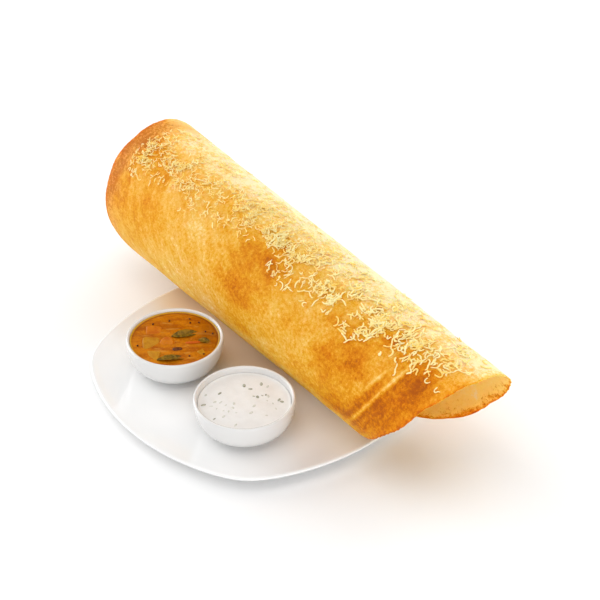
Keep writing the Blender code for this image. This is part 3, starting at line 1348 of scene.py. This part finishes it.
    def dark_bits(self) -> None:
        """Tamarind pulp, and mustard seeds that float."""
        pulp, faces = soft_block((7.5 * MM, 4.2 * MM, 3.2 * MM), 0.7)
        pulp = turned_and_placed(pulp, (0.0, 0.0, radians(60)), self.at(*self.tamarind_at, -0.9))
        finish = WetFinish("tamarind", (0.20, 0.055, 0.008), (0.09, 0.022, 0.005), 300.0, 0.4, 0.1)
        add_piece("tamarind_pulp", self.dented(pulp, 0.9, 331), faces, finish.build())
        centres = np.array([self.at(x, y, 0.15) for x, y in self.seeds_at])
        draw = np.random.default_rng(self.seed)
        sizes = draw.uniform(1.3, 1.9, (len(centres), 3)) * MM
        points, faces = pebbles(centres, sizes, draw.uniform(0, tau, len(centres)), 7, 12)
        finish = WetFinish("mustard_seed", (0.12, 0.028, 0.006), (0.06, 0.014, 0.005), 900.0, 0.4, 0.15)
        add_piece("mustard_seeds", points, faces, finish.build())

    def build(self) -> None:
        """All that floats."""
        self.blocks()
        self.curry_leaves()
        self.chilli_strip()
        self.dark_bits()


@dataclass
class HerbFlecks:
    """Chopped herb in the chutney's skin: a few clear flecks, and faint ones that lie just under it.

    Places are x and y from the bowl's axis, in millimetres.
    """

    chutney: Chutney
    clear_at: Spots = (
        (-16, 10.5), (-10, 13), (-9.5, 22), (-19, -8), (-15.5, -25), (2.5, -28.5),
        (-2.5, 9), (0.5, 11), (2, 15), (3, 17), (12.5, 22), (16, 22),
    )  # fmt: skip
    faint_at: Spots = (
        (-23.5, -18), (-9.5, -13.5), (-5, -13), (0, -10.5), (2, -15.5), (13, -3), (-13, -17),
        (22, 4), (-4, 24), (17, -20), (8, 3), (-6.5, -20), (-1, -19), (4.5, -21),
        (-11, -22), (6, -12), (-3, -7.5), (5, 18), (9, 14), (14, 16), (19, 14),
    )  # fmt: skip
    seed: int = 37

    def flecks(self, places: Spots, low: float, high: float, height: float) -> Surface:
        """Small flat ovals on the paste.

        Args:
            places: x and y from the bowl's axis, in millimetres.
            low, high: the range of their lengths, in millimetres.
            height: how far their middles stand over the paste, in millimetres.

        Returns:
            The points and the faces.
        """
        draw = np.random.default_rng(self.seed + len(places))
        flat = np.array(places, dtype=float) * MM + draw.normal(0, 0.4, (len(places), 2)) * MM
        top = self.chutney.relief(flat[:, 0], flat[:, 1]) + self.chutney.bowl.level + height * MM
        centres = self.chutney.bowl.foot + np.column_stack([flat, top])
        length = draw.uniform(low, high, len(places))
        width = length * draw.uniform(0.35, 0.7, len(places))
        sizes = np.stack([length, width, np.full(len(places), 0.5)], axis=-1) * MM
        return pebbles(centres, sizes, draw.uniform(0, tau, len(places)), 5, 9)

    def build(self) -> None:
        """Clear and faint flecks."""
        clear = WetFinish("herb_fleck", (0.50, 0.50, 0.42), (0.27, 0.28, 0.20), 400.0, 0.4, 0.05).build()
        faint = WetFinish("sunken_herb", (0.73, 0.72, 0.67), (0.60, 0.60, 0.53), 700.0, 0.4, 0.1).build()
        add_piece("herb_flecks", *self.flecks(self.clear_at, 2.2, 4.4, 0.02), clear)
        add_piece("sunken_herbs", *self.flecks(self.faint_at, 2.0, 4.2, -0.08), faint)


# ---------------------------------------------------------------- the crepe


@dataclass(frozen=True)
class Patch:
    """A browned or paler place on the sheet: where it is and how large, along and round the roll, and how strong.

    Along the roll counts in millimetres from its wide mouth, and round it in degrees.
    """

    along: float
    round: float
    length: float
    girth: float
    strength: float


PATCHES = (
    Patch(0, 84, 12, 30, 0.50),
    Patch(3, 122, 9, 26, 0.30),
    Patch(4, 158, 8, 22, 0.28),
    Patch(12, 153, 14, 16, 0.08),
    Patch(14, 104, 12, 12, 0.16),
    Patch(16, 145, 12, 28, 0.10),
    Patch(60, 150, 18, 14, 0.08),
    Patch(34, 108, 14, 9, 0.16),
    Patch(50, 122, 14, 9, 0.16),
    Patch(58, 158, 18, 16, 0.14),
    Patch(26, 160, 12, 12, 0.08),
    Patch(36, 178, 20, 12, -0.03),
    Patch(100, 80, 30, 12, -0.06),
    Patch(255, 92, 32, 10, -0.12),
    Patch(306, 84, 28, 10, -0.12),
    Patch(86, 150, 16, 14, 0.06),
    Patch(118, 150, 24, 24, -0.07),
    Patch(112, 185, 30, 16, -0.04),
    Patch(188, 122, 26, 14, 0.32),
    Patch(196, 102, 9, 7, 0.30),
    Patch(180, 154, 24, 20, 0.34),
    Patch(190, 188, 26, 12, 0.18),
    Patch(222, 171, 12, 5, 0.16),
    Patch(242, 146, 26, 20, 0.03),
    Patch(262, 190, 22, 12, 0.16),
    Patch(284, 124, 18, 10, 0.20),
    Patch(288, 154, 18, 18, 0.34),
    Patch(308, 140, 15, 15, 0.36),
    Patch(324, 188, 28, 20, 0.46),
    Patch(344, 160, 20, 20, 0.46),
    Patch(366, 132, 18, 24, 0.52),
    Patch(322, 112, 16, 10, 0.26),
    Patch(300, 192, 24, 14, 0.26),
)


@dataclass(frozen=True)
class LadleRing:
    """A raised arc on the sheet: its radius and width in millimetres, and between which headings it runs."""

    radius: float
    first: float
    last: float
    width: float


@dataclass
class Crepe:
    """The dosa: an oval sheet of batter rolled into a tapering tube, lying across the plate.

    A point on the sheet is its arc, the distance round the roll from the sheet's middle line, and its place
    along the roll. The ladle set out from the middle of the sheet.
    """

    plate: Plate
    wide_radius: float = 56.2 * MM
    narrow_radius: float = 47.0 * MM
    span: float = 400.0 * MM
    start: float = -195.3 * MM
    axis_y: float = 36.6 * MM
    sag: float = 1.5 * MM
    half_girth: float = 185.0 * MM
    side_cut: float = 0.985
    middle: float = 190.0 * MM
    wide_reach: float = 200.5 * MM
    narrow_reach: float = 202.5 * MM
    thickness: float = 1.7 * MM
    edge_thickness: float = 0.8 * MM
    wide_turn: float = radians(60.0)
    narrow_turn: float = radians(78.0)
    tuck: float = 3.0 * MM
    clearance: float = 0.35 * MM
    flattening: float = 60.0
    drum: float = 0.045
    lip_bulge: float = 0.7
    narrow_lip_paling: float = 0.42
    inner_shift: float = 0.7
    inner_ladle_shift: float = 0.3
    rows: int = 226
    columns: int = 208
    ladle_rings: tuple[LadleRing, ...] = (LadleRing(164.3, 0.16, 0.76, 1.6), LadleRing(154.5, 0.24, 0.52, 1.5))

    def radius(self, along: Array) -> Array:
        """The roll's radius, which falls evenly along it."""
        return self.wide_radius + (self.narrow_radius - self.wide_radius) * along / self.span

    def middle_angle(self, along: Array) -> Array:
        """The angle of the sheet's middle line, from +Y over the top."""
        return self.wide_turn + (self.narrow_turn - self.wide_turn) * along / self.span

    def arc_at(self, angle: Array, along: Array) -> Array:
        """The distance round the sheet from its middle line at an angle round the roll."""
        return (angle - self.middle_angle(along)) * self.radius(along)

    def reach(self, arc: Array) -> tuple[Array, Array]:
        """How far the sheet runs to the wide and to the narrow mouth: two blunt ovals with wandering edges.

        Args:
            arc: distances round the sheet.

        Returns:
            The distance to the wide mouth and to the narrow one, from the sheet's middle.
        """
        share = np.clip(np.abs(arc) / self.half_girth, 0.0, 0.999)
        step = smoothstep(share, 0.0, 0.28) * (1 - smoothstep(share, 0.45, 0.72))
        wide = self.wide_reach * (1 - share**3.3) ** (1 / 3.3) - 6.5 * MM * step
        narrow = self.narrow_reach * (1 - share**2.0) ** 0.76
        ripple = np.sin(arc / (9 * MM)) + 0.7 * np.sin(arc / (5.3 * MM) + 1.0)
        uneven = 0.7 * MM * ripple * (1 - share**6)
        ragged = 0.5 * MM * lattice_noise(arc, 0 * arc, 1.9 * MM, 5) * (1 - share**6)
        return wide + 0.5 * uneven + 0.6 * ragged - 0.45 * MM, narrow + uneven + ragged - 0.45 * MM

    def place(self, arc: Array, along: Array) -> Array:
        """Points of the smooth outer face.

        The angle is the middle line's angle plus the arc over the radius. The distance from the axis is the
        soft minimum of the circle and the plate below it, less the tuck of the edge that goes in first.

        Args:
            arc, along: the points on the sheet.

        Returns:
            Their places in space.
        """
        x = self.start + along
        radius = self.radius(along)
        angle = self.middle_angle(along) + arc / radius
        rise = (self.plate.rim - self.plate.well) * smoothstep(np.abs(x) / self.plate.half_width(), 0.66, 0.90)
        floor = (radius - self.sag - rise) / np.maximum(-np.sin(angle), 1e-3)
        pressed = (radius**-self.flattening + floor**-self.flattening) ** (-1 / self.flattening)
        reach = pressed - self.tuck * smoothstep(-arc / self.half_girth, 0.52, 0.78)
        y = self.axis_y + reach * np.cos(angle)
        z = self.plate.well + self.clearance + radius - self.sag + reach * np.sin(angle)
        return np.stack(np.broadcast_arrays(x + self.plate.middle[0], y + self.plate.middle[1], z), axis=-1)

    def normal(self, arc: Array, along: Array) -> Array:
        """Unit vectors out of the smooth outer face, from its slopes over half a millimetre.

        Args:
            arc, along: the points on the sheet.

        Returns:
            The direction out of the face at each of them.
        """
        step = 0.5 * MM
        around = self.place(arc + step, along) - self.place(arc - step, along)
        ahead = self.place(arc, along + step) - self.place(arc, along - step)
        return unit(np.cross(around, ahead))

    def from_middle(self, arc: Array, along: Array) -> tuple[Array, Array]:
        """Distance and heading of points on the sheet, seen from its middle."""
        return np.hypot(arc, along - self.middle), np.arctan2(arc, along - self.middle)

    def rings(self, arc: Array, along: Array, shift: float = 0.0) -> Array:
        """Two raised arcs that the ladle left, round the middle of the sheet.

        Args:
            arc, along: the points on the sheet.
            shift: how much wider the arcs are drawn, for the hollow beside each.

        Returns:
            One on an arc's middle line, falling to nothing beside it.
        """
        distance, heading = self.from_middle(arc, along)
        wander = 0.9 * MM * cloud(60 * MM * heading, 0 * arc, 22 * MM, 31, 1)
        raised = 0.0
        for ring in self.ladle_rings:
            begun = smoothstep(heading, ring.first, ring.first + 0.12)
            ended = smoothstep(heading, ring.last - 0.12, ring.last)
            off = (distance + wander - ring.radius * MM - shift) / (ring.width * MM)
            raised = raised + begun * (1 - ended) * np.exp(-(off**2))
        return raised

    def streaks(self, arc: Array, along: Array) -> Array:
        """Faint light and dark bands along the same circles, from -1 to 1.

        The heading enters by its sine and its cosine, so that the bands have no seam.

        Args:
            arc, along: the points on the sheet.

        Returns:
            The bands' strength.
        """
        distance, heading = self.from_middle(arc, along)
        first = cloud(distance, 40 * MM * np.cos(heading), 8 * MM, 41, 2)
        return 0.7 * (first + cloud(distance, 40 * MM * np.sin(heading), 8 * MM, 45, 2))

    def ladle(self, arc: Array, along: Array) -> Array:
        """Where each point lies for the ladle's fine streaks: on a narrow drum, at its distance from the middle.

        Args:
            arc, along: the points on the sheet.

        Returns:
            Their places on the drum.
        """
        distance, heading = self.from_middle(arc, along)
        return np.stack([self.drum * np.cos(heading), self.drum * np.sin(heading), distance], axis=-1)

    def relief(self, arc: Array, along: Array) -> Array:
        """How far the outer face stands off the smooth form.

        Args:
            arc, along: the points on the sheet.

        Returns:
            The height of swells, blisters, raised arcs and streaks together.
        """
        swell = 0.55 * MM * cloud(arc, along, 42 * MM, 51, 2)
        blisters = 0.10 * MM * cloud(arc, along, 6 * MM, 61, 2)
        ends = smoothstep(self.from_middle(arc, along)[0], 90 * MM, 150 * MM)
        return swell + blisters + 0.7 * MM * self.rings(arc, along) + 0.10 * MM * ends * self.streaks(arc, along)

    def edge_distance(self, arc: Array, along: Array) -> Array:
        """Distance to the nearer mouth, along the roll."""
        wide, narrow = self.reach(arc)
        return np.minimum(along - self.middle + wide, self.middle + narrow - along)

    def browning(self, arc: Array, along: Array) -> Array:
        """How browned the outer face is, about 0 to 1: patches with wandering outlines on a golden ground, paler over
        the top, partly as a painted highlight.

        Args:
            arc, along: the points on the sheet.

        Returns:
            The browning.
        """
        wandering_arc = arc + 7 * MM * cloud(arc, along, 24 * MM, 71)
        wandering_along = along + 7 * MM * cloud(arc, along, 24 * MM, 81)
        radius = self.radius(along)
        level = 0.36 + 0.07 * cloud(arc, along, 30 * MM, 91) + 0.06 * cloud(arc, along, 9 * MM, 95)
        level = level + 0.03 + 0.04 * (1 - smoothstep(along, 40 * MM, 110 * MM))
        round_roll = np.degrees(self.middle_angle(along) + arc / radius)
        behind = 1 - smoothstep(round_roll, -8.0, 62.0)
        # Paler over the top of the roll: partly the crepe's own paler colour there, partly a painted highlight of the
        # back light along the top.
        level = level - 0.40 * (1 - smoothstep(round_roll, 60.0, 112.0)) * (1 - behind)
        level = level + behind * (0.15 * cloud(arc, along, 32 * MM, 97) + 0.02)
        for patch in PATCHES:
            place = self.arc_at(radians(patch.round), patch.along * MM)
            across = (wandering_arc - place) / (radians(patch.girth) * radius)
            ahead = (wandering_along - patch.along * MM) / (patch.length * MM)
            level = level + patch.strength * np.exp(-(across**2 + ahead**2))
        ends = smoothstep(self.from_middle(arc, along)[0], 70 * MM, 150 * MM)
        level = level + (0.09 + 0.04 * ends) * self.streaks(arc, along)
        level = level - 0.42 * self.rings(arc, along) + 0.12 * self.rings(arc, along, 3.2 * MM)
        edge = self.edge_distance(arc, along)
        return level + 0.34 * np.exp(-edge / (1.0 * MM)) + 0.06 * np.exp(-edge / (9 * MM))

    def toast(self, arc: Array, along: Array) -> Array:
        """Where the outer face is dull and reddish: a band along the wide mouth, and less of it over the wide half."""
        band = np.exp(-((along - 3 * MM - 6 * MM * cloud(arc, along, 9 * MM, 121, 2)) / (14 * MM)) ** 2)
        return 0.80 * band + 0.20 * (1 - smoothstep(along, 20 * MM, 120 * MM))

    def inner_browning(self, arc: Array, along: Array) -> Array:
        """How browned the inner face is: even gold, darker and spotted towards the mouths.

        Args:
            arc, along: the points on the sheet.

        Returns:
            The browning.
        """
        edge = self.edge_distance(arc, along)
        spots = 0.5 + 0.5 * cloud(arc, along, 2.6 * MM, 101, 2)
        level = 0.09 + 0.06 * cloud(arc, along, 25 * MM, 105) + 0.14 * cloud(arc, along, 7 * MM, 107)
        streak = np.exp(-(((arc + along - 271 * MM) / (4.5 * MM)) ** 2) - ((along - 350 * MM) / (10 * MM)) ** 2)
        spotted = (0.10 + 0.62 * spots**1.5) * np.exp(-((edge / (9.0 * MM)) ** 2))
        return level - 0.26 * streak + spotted + 0.42 * np.exp(-edge / (1.1 * MM))

    def grid(self) -> tuple[Array, Array]:
        """The points of the sheet: rows run round it, closer where it shows most, and columns along it.

        The rows are spread by a running total of their weights, and the columns by a sine, closer at the mouths.

        Returns:
            The arc and the place along the roll of each point, as rows x columns.
        """
        samples = np.linspace(-1, 1, 2001)
        weight = 0.45 + 0.55 * smoothstep(samples, -0.32, -0.18) * (1 - smoothstep(samples, 0.74, 0.88))
        cumulative = np.concatenate([[0.0], np.cumsum((weight[1:] + weight[:-1]) / 2)])
        shares = np.interp(np.linspace(0, cumulative[-1], self.rows), cumulative, samples)
        t = np.linspace(-1, 1, self.columns)
        run = 0.45 * t + 0.55 * np.sin(t * pi / 2)
        arc = np.broadcast_to((shares * self.side_cut * self.half_girth)[:, None], (self.rows, self.columns))
        wide, narrow = self.reach(arc)
        return arc, self.middle + np.where(run < 0, wide, narrow) * run

    def faces_of(self, arc: Array, along: Array) -> tuple[Array, Array]:
        """The outer face, which has relief, and the inner face, one wall's thickness below it.

        The wall thins to its edges, and small bubbles dent the inner face near the mouths.

        Args:
            arc, along: the points on the sheet.

        Returns:
            The points of both faces, and the wall's thickness without its bubbles.
        """
        normal = self.normal(arc, along)
        mouth = self.edge_distance(arc, along)
        side = self.half_girth * self.side_cut - np.abs(arc)
        share = smoothstep(np.minimum(mouth, side), 0.0, 7 * MM)
        wall = self.edge_thickness + (self.thickness - self.edge_thickness) * share
        bubbles = 0.22 * MM * cloud(arc, along, 2.4 * MM, 111, 2) * np.exp(-((mouth / (12 * MM)) ** 2))
        outer = self.place(arc, along) + self.relief(arc, along)[..., None] * normal
        return np.stack([outer, outer - (wall + bubbles)[..., None] * normal]), wall

    def lip(self, outer: Array, inner: Array, wall: Array, loop: Array) -> Array:
        """The line that rounds the edge between the two faces: halfway between them, and pushed outwards.

        Args:
            outer, inner: the points of both faces.
            wall: the thickness between them.
            loop: the indices of the points round the sheet.

        Returns:
            The line's points, in the loop's order.
        """
        outward = np.zeros_like(outer)
        outward[:, 0] = outer[:, 0] - outer[:, 1]
        outward[:, -1] = outer[:, -1] - outer[:, -2]
        outward[0] += outer[0] - outer[1]
        outward[-1] += outer[-1] - outer[-2]
        return (outer + inner + self.lip_bulge * wall[..., None] * unit(outward)).reshape(-1, 3)[loop] / 2

    def build(self, finish: bpy.types.Material) -> bpy.types.Object:
        """A grid for the outer face and one for the inner face, joined by a rounded lip along all four edges.

        Args:
            finish: the crepe's material.

        Returns:
            The rolled crepe.
        """
        arc, along = self.grid()
        (outer, inner), wall = self.faces_of(arc, along)
        count = self.rows * self.columns
        quads, loop = grid_quads(self.rows, self.columns), grid_border(self.rows, self.columns)
        lip = self.lip(outer, inner, wall, loop)
        edge = np.arange(len(loop)) + 2 * count
        following, edge_following = np.roll(loop, -1), np.roll(edge, -1)
        first_side = np.stack([loop, following, edge_following, edge], axis=-1)
        second_side = np.stack([edge, edge_following, following + count, loop + count], axis=-1)
        faces = [np.concatenate([quads[:, ::-1], quads + count, first_side, second_side])]
        points = np.concatenate([outer.reshape(-1, 3), inner.reshape(-1, 3), lip])
        piece = add_piece("crepe_roll", points, faces, finish)
        self.mark(piece, arc, along, loop)
        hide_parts("dosa_roll")
        return piece

    def mark(self, piece: bpy.types.Object, arc: Array, along: Array, loop: Array) -> None:
        """Stores what the finish reads: browning, toast, which face, the ladle's drum, and the sheet laid flat.

        Args:
            piece: the crepe, whose points are the outer face, the inner face and the lip.
            arc, along: the points on the sheet.
            loop: the indices of the points round it.
        """
        count = arc.size
        browning, inner_browning = self.browning(arc, along).ravel(), self.inner_browning(arc, along).ravel()
        lip_browning = browning[loop] - self.narrow_lip_paling * (along.ravel()[loop] > self.middle)
        toast = self.toast(arc, along).ravel()
        ladle = self.ladle(arc, along).reshape(-1, 3)
        flat = np.stack([along.ravel(), arc.ravel()], axis=-1)
        flat = np.concatenate([flat, flat + self.inner_shift, flat[loop]])
        add_attribute(piece, "browning", np.concatenate([browning, inner_browning, lip_browning]))
        add_attribute(piece, "inner_face", np.repeat([0.0, 1.0, 0.5], [count, count, len(loop)]))
        add_attribute(piece, "toast", np.concatenate([toast, 0 * toast, toast[loop]]))
        add_attribute(piece, "ladle", np.concatenate([ladle, ladle + self.inner_ladle_shift, ladle[loop]]))
        corners = np.empty(len(piece.data.loops), dtype=np.int32)
        piece.data.loops.foreach_get("vertex_index", corners)
        layer = piece.data.uv_layers.new(name="sheet")
        layer.data.foreach_set("uv", flat[corners].astype(np.float32).ravel())


# ---------------------------------------------------------------- cheese


@dataclass(frozen=True)
class Drift:
    """A denser drift of cheese: where it lies and how large it is, along and round the roll, and its weight.

    Along the roll counts in millimetres from its wide mouth, and round it in degrees.
    """

    along: float
    round: float
    length: float
    girth: float
    weight: float


DRIFTS = (
    Drift(176, 101, 12, 8, 6.0),
    Drift(205, 103, 12, 5, 1.6),
    Drift(24, 110, 14, 12, 2.4),
    Drift(70, 92, 30, 12, 1.0),
    Drift(125, 98, 26, 12, 1.1),
    Drift(224, 92, 18, 12, 1.1),
    Drift(262, 100, 24, 10, 1.1),
    Drift(300, 98, 24, 10, 0.8),
    Drift(328, 106, 20, 8, 1.5),
    Drift(354, 107, 18, 9, 1.8),
    Drift(344, 88, 22, 9, 0.5),
    Drift(288, 124, 10, 6, 0.9),
    Drift(208, 123, 12, 8, 1.0),
    Drift(232, 120, 20, 8, 0.8),
    Drift(12, 122, 9, 9, 1.1),
    Drift(55, 116, 26, 11, 1.0),
    Drift(92, 116, 24, 10, 0.8),
    Drift(132, 112, 22, 9, 0.8),
    Drift(150, 92, 24, 10, 0.8),
)


@dataclass
class GratedCheese:
    """Shreds of cheese strewn along the top of the roll.

    Lengths and widths are in millimetres. The band's lower edge runs through edge_places, in millimetres
    along the roll, at edge_angles, in degrees round it.
    """

    crepe: Crepe
    count: int = 2500
    stations: int = 10
    sides: int = 4
    seed: int = 7
    lengths: tuple[float, float] = (2.8, 6.8)
    widths: tuple[float, float] = (0.66, 1.12)
    flatness: float = 0.44
    tries_each: int = 14
    densest: float = 2.4
    edge_places: tuple[int, ...] = (0, 30, 60, 100, 150, 175, 188, 200, 212, 228, 245, 270, 300, 320, 350, 385)
    edge_angles: tuple[int, ...] = (131, 134, 128, 125, 122, 114, 109, 119, 130, 129, 121, 124, 127, 129, 123, 108)

    def density(self, along: Array, angle: Array) -> Array:
        """How thickly cheese lies: a band along the top, drifts on it, all broken into clumps.

        Each drift is a Gauss bell, and the clumps are noise at two scales, stepped softly.

        Args:
            along, angle: the places along and round the roll.

        Returns:
            The density, from 0 up.
        """
        degrees = np.degrees(angle)
        edge = np.interp(along / MM, self.edge_places, self.edge_angles)
        edge = edge + 3 * lattice_noise(along, 0 * along, 9 * MM, 201)
        band = smoothstep(degrees, 48, 72) * (1 - smoothstep(degrees, edge - 22, edge + 8))
        ends = smoothstep(along, 6 * MM, 22 * MM) * (1 - smoothstep(along, 372 * MM, 388 * MM))
        bare_back = smoothstep(along, 150 * MM, 220 * MM) * (1 - smoothstep(degrees, 88, 112))
        level = (0.42 - 0.20 * bare_back) * band
        for drift in DRIFTS:
            reach = ((along / MM - drift.along) / drift.length) ** 2 + ((degrees - drift.round) / drift.girth) ** 2
            level = level + drift.weight * 0.55 * np.exp(-reach)
        clumps = 0.15 + 0.85 * smoothstep(cloud(along, angle * 0.05, 7 * MM, 211, 2), -0.30, 0.55)
        clumps = clumps * (0.35 + 0.65 * smoothstep(cloud(along, angle * 0.05, 16 * MM, 215, 1), -0.40, 0.25))
        return level * clumps * ends

    def scatter(self, draw: np.random.Generator) -> tuple[Array, Array]:
        """Draws places one by one against the density, and keeps the first ones that pass.

        Args:
            draw: the source of random numbers.

        Returns:
            Each shred's place along and round the roll.
        """
        tries = self.count * self.tries_each
        along = draw.uniform(4 * MM, 388 * MM, tries)
        angle = draw.uniform(radians(45), radians(142), tries)
        passed = draw.uniform(0, self.densest, tries) < self.density(along, angle)
        return along[passed][: self.count], angle[passed][: self.count]

    def curves(self, draw: np.random.Generator, along: Array, angle: Array, length: Array) -> tuple[Array, Array]:
        """Each shred's centre line on the sheet: its heading turns evenly, with a wave, from end to end.

        Args:
            draw: the source of random numbers.
            along, angle: each shred's place along and round the roll.
            length: each shred's length.

        Returns:
            The arc and the place along the roll of each point, as shreds x stations.
        """
        n, s = len(along), self.shares()
        heading = draw.uniform(0, tau, n)
        bend = draw.normal(0, 1.0, n) * 100
        wave = draw.normal(0, 0.75, n)
        facing = heading[:, None] + bend[:, None] * s * length[:, None] * 2 + wave[:, None] * np.sin(s * tau)
        step = (length / (self.stations - 1))[:, None]
        run = np.cumsum(np.cos(facing) * step, axis=1)
        girth = np.cumsum(np.sin(facing) * step, axis=1)
        run, girth = run - run.mean(1, keepdims=True), girth - girth.mean(1, keepdims=True)
        return self.crepe.arc_at(angle[:, None], along[:, None]) + girth, along[:, None] + run

    def heights(self, draw: np.random.Generator, crowd: Array) -> tuple[Array, Array]:
        """How high each shred lies on the crepe: piled up where it is crowded, tilted, and lifted at its ends.

        Args:
            draw: the source of random numbers.
            crowd: how crowded each shred's place is, from 0 to 1.

        Returns:
            Each shred's own level, and the height of each of its points.
        """
        n, s = len(crowd), self.shares()
        lie = (0.35 + draw.uniform(0, 1, n) ** 1.5 * (0.5 + 1.9 * crowd)) * MM
        lift = np.abs(draw.normal(0, 0.5, n)) * MM
        tilt = draw.normal(0, 0.6, n) * MM * (0.4 + crowd)
        height = lie[:, None] + lift[:, None] * (2 * s) ** 2 + tilt[:, None] * s
        return lie, np.maximum(height, 0.30 * MM)

    def shares(self) -> Array:
        """Where the stations of a shred lie, from -0.5 at one end to 0.5 at the other."""
        return np.linspace(-0.5, 0.5, self.stations)[None]

    def build(self, finish: bpy.types.Material) -> bpy.types.Object:
        """Each shred is a flat oval carried along its bent line, a little turned over and uneven in width.

        Args:
            finish: the cheese's material.

        Returns:
            All the shreds as one piece.
        """
        draw = np.random.default_rng(self.seed)
        along, angle = self.scatter(draw)
        n = len(along)
        coarse = smoothstep(along, 120 * MM, 330 * MM)
        length = draw.uniform(*self.lengths, n) * MM * (1 + 0.60 * coarse)
        width = draw.uniform(*self.widths, n) * MM * (1 + 0.62 * coarse)
        arc, where_along = self.curves(draw, along, angle, length)
        crowd = np.clip(self.density(along, angle) / 2.2, 0, 1)
        lie, height = self.heights(draw, crowd)
        normal = self.crepe.normal(arc, where_along)
        base = self.crepe.place(arc, where_along) + self.crepe.relief(arc, where_along)[..., None] * normal
        paths = base + height[..., None] * normal
        taper = (1 - 0.35 * (2 * np.abs(self.shares())) ** 3) * draw.uniform(0.74, 1.16, (n, self.stations))
        roll_over = draw.normal(0, 0.35, n)[:, None, None]
        outwards = unit(normal + roll_over * np.cross(unit(np.gradient(paths, axis=1)), normal))
        widths, heights = width[:, None] * taper, self.flatness * width[:, None] * taper
        points, faces = swept_strands(paths, outwards, widths, heights, self.sides)
        piece = add_piece("grated_cheese", points, faces, finish)
        # painted shade: shreds lying low in crowded piles take the deeper colour
        painted_pile_shade = 0.65 * crowd * (1 - smoothstep(lie, 0.5 * MM, 1.5 * MM))
        tone_and_painted_shade = np.clip(0.05 + 0.58 * draw.uniform(0, 1, n) + painted_pile_shade, 0, 1)
        add_attribute(piece, "tone_and_painted_shade", np.repeat(tone_and_painted_shade, self.stations * self.sides))
        return piece


# ---------------------------------------------------------------- camera, light and floor


@dataclass(frozen=True)
class Lamp:
    """A square soft lamp: its name, where it hangs, its side in metres and its power in watts."""

    name: str
    place: Place
    size: float
    power: float

    def hang(self) -> None:
        """Hangs the lamp so that it faces the middle of the serving."""
        data = bpy.data.lights.new(self.name, "AREA")
        data.size = self.size
        data.energy = self.power
        lamp = add_object(self.name, data)
        lamp.location = self.place
        lamp.rotation_euler = (-Vector(self.place)).to_track_quat("-Z", "Y").to_euler()


@dataclass
class Studio:
    """A pale floor, even white light from all round with eight soft lamps, and the camera."""

    plate: Plate
    lens: float = 96.0
    sensor: float = 36.0
    azimuth: float = radians(52.78)
    elevation: float = radians(35.83)
    distance: float = 1.312
    aim: Place = (-0.0528, 0.0776, 0.008)
    floor_half: float = 6.0
    sky: float = 0.36
    lamps: tuple[Lamp, ...] = (
        Lamp("top_lamp", (0.0, -0.75, 1.9), 1.6, 9.5),
        Lamp("overhead_lamp", (0.1, 0.3, 2.0), 1.8, 6.5),
        Lamp("high_back_lamp", (-0.35, 1.6, 1.4), 1.6, 9.5),
        Lamp("low_back_lamp", (0.2, 1.9, 0.7), 1.6, 18.0),
        Lamp("left_lamp", (-1.9, -0.5, 0.8), 1.4, 22.0),
        Lamp("front_lamp", (-1.3, -1.1, 0.35), 1.0, 5.0),
        Lamp("side_lamp", (1.6, -1.1, 0.6), 1.2, 10.5),
        Lamp("mouth_lamp", (1.9, -0.3, 0.5), 1.2, 7.0),
    )

    def camera(self) -> None:
        """Stands the camera at its angle and distance from the aim, which is counted from the plate's middle."""
        data = bpy.data.cameras.new("camera")
        data.lens = self.lens
        data.sensor_width = self.sensor
        data.clip_end = 20.0
        camera = add_object("camera", data)
        aim = Vector(self.plate.middle) + Vector(self.aim)
        level = cos(self.elevation)
        offset = Vector((sin(self.azimuth) * level, -cos(self.azimuth) * level, sin(self.elevation)))
        camera.location = aim + offset * self.distance
        camera.rotation_euler = (-offset).to_track_quat("-Z", "Y").to_euler()
        bpy.context.scene.camera = camera

    def floor(self) -> None:
        """A wide pale floor on which the plate stands."""
        material, graph, shader = new_material("pale_floor")
        graph.fill(shader, {"Base Color": (0.97, 0.97, 0.97), "Roughness": 0.9, "Specular IOR Level": 0.0})
        half = self.floor_half
        mesh = bpy.data.meshes.new("floor")
        corners = [(-half, -half, 0.0), (half, -half, 0.0), (half, half, 0.0), (-half, half, 0.0)]
        mesh.from_pydata(corners, [], [(0, 1, 2, 3)])
        mesh.materials.append(material)
        add_object("floor", mesh)

    def light(self) -> None:
        """Even white light from all round, and the lamps."""
        world = bpy.data.worlds.new("studio")
        world.use_nodes = True
        background = world.node_tree.nodes["Background"]
        background.inputs["Color"].default_value = (1.0, 1.0, 1.0, 1.0)
        background.inputs["Strength"].default_value = self.sky
        bpy.context.scene.world = world
        for lamp in self.lamps:
            lamp.hang()

    def build(self) -> None:
        """Sets up all of it, with colours shown as they are lit."""
        view = bpy.context.scene.view_settings
        view.view_transform = "Standard"
        view.look = "None"
        view.exposure = 0.0
        view.gamma = 1.0
        self.camera()
        self.light()
        self.floor()


def main() -> None:
    """Builds the studio, then each piece of the serving in order."""
    logging.basicConfig(level=logging.INFO, format="%(name)s: %(message)s")
    plate = Plate()
    Studio(plate).build()
    plate.build(PorcelainFinish().build())
    # the bowls' porcelain is a darker copy of the plate's, as painted shade on the bowls
    bowl_glaze_painted_shade = PorcelainFinish("bowl_porcelain_painted_shade", colour=(0.755, 0.75, 0.74), shade=(0.735, 0.73, 0.72)).build()
    sambar_bowl, chutney_bowl = Bowl("sambar"), Bowl("chutney")
    for bowl in (sambar_bowl, chutney_bowl):
        bowl.build(bowl_glaze_painted_shade)
    Sambar(sambar_bowl).build(SambarFinish().build())
    SambarVegetables(sambar_bowl).build()
    chutney = Chutney(chutney_bowl)
    chutney.build(ChutneyFinish().build())
    HerbFlecks(chutney).build()
    crepe = Crepe(plate)
    crepe.build(CrepeFinish().build())
    GratedCheese(crepe).build(CheeseFinish().build())


if __name__ == "__main__":
    main()
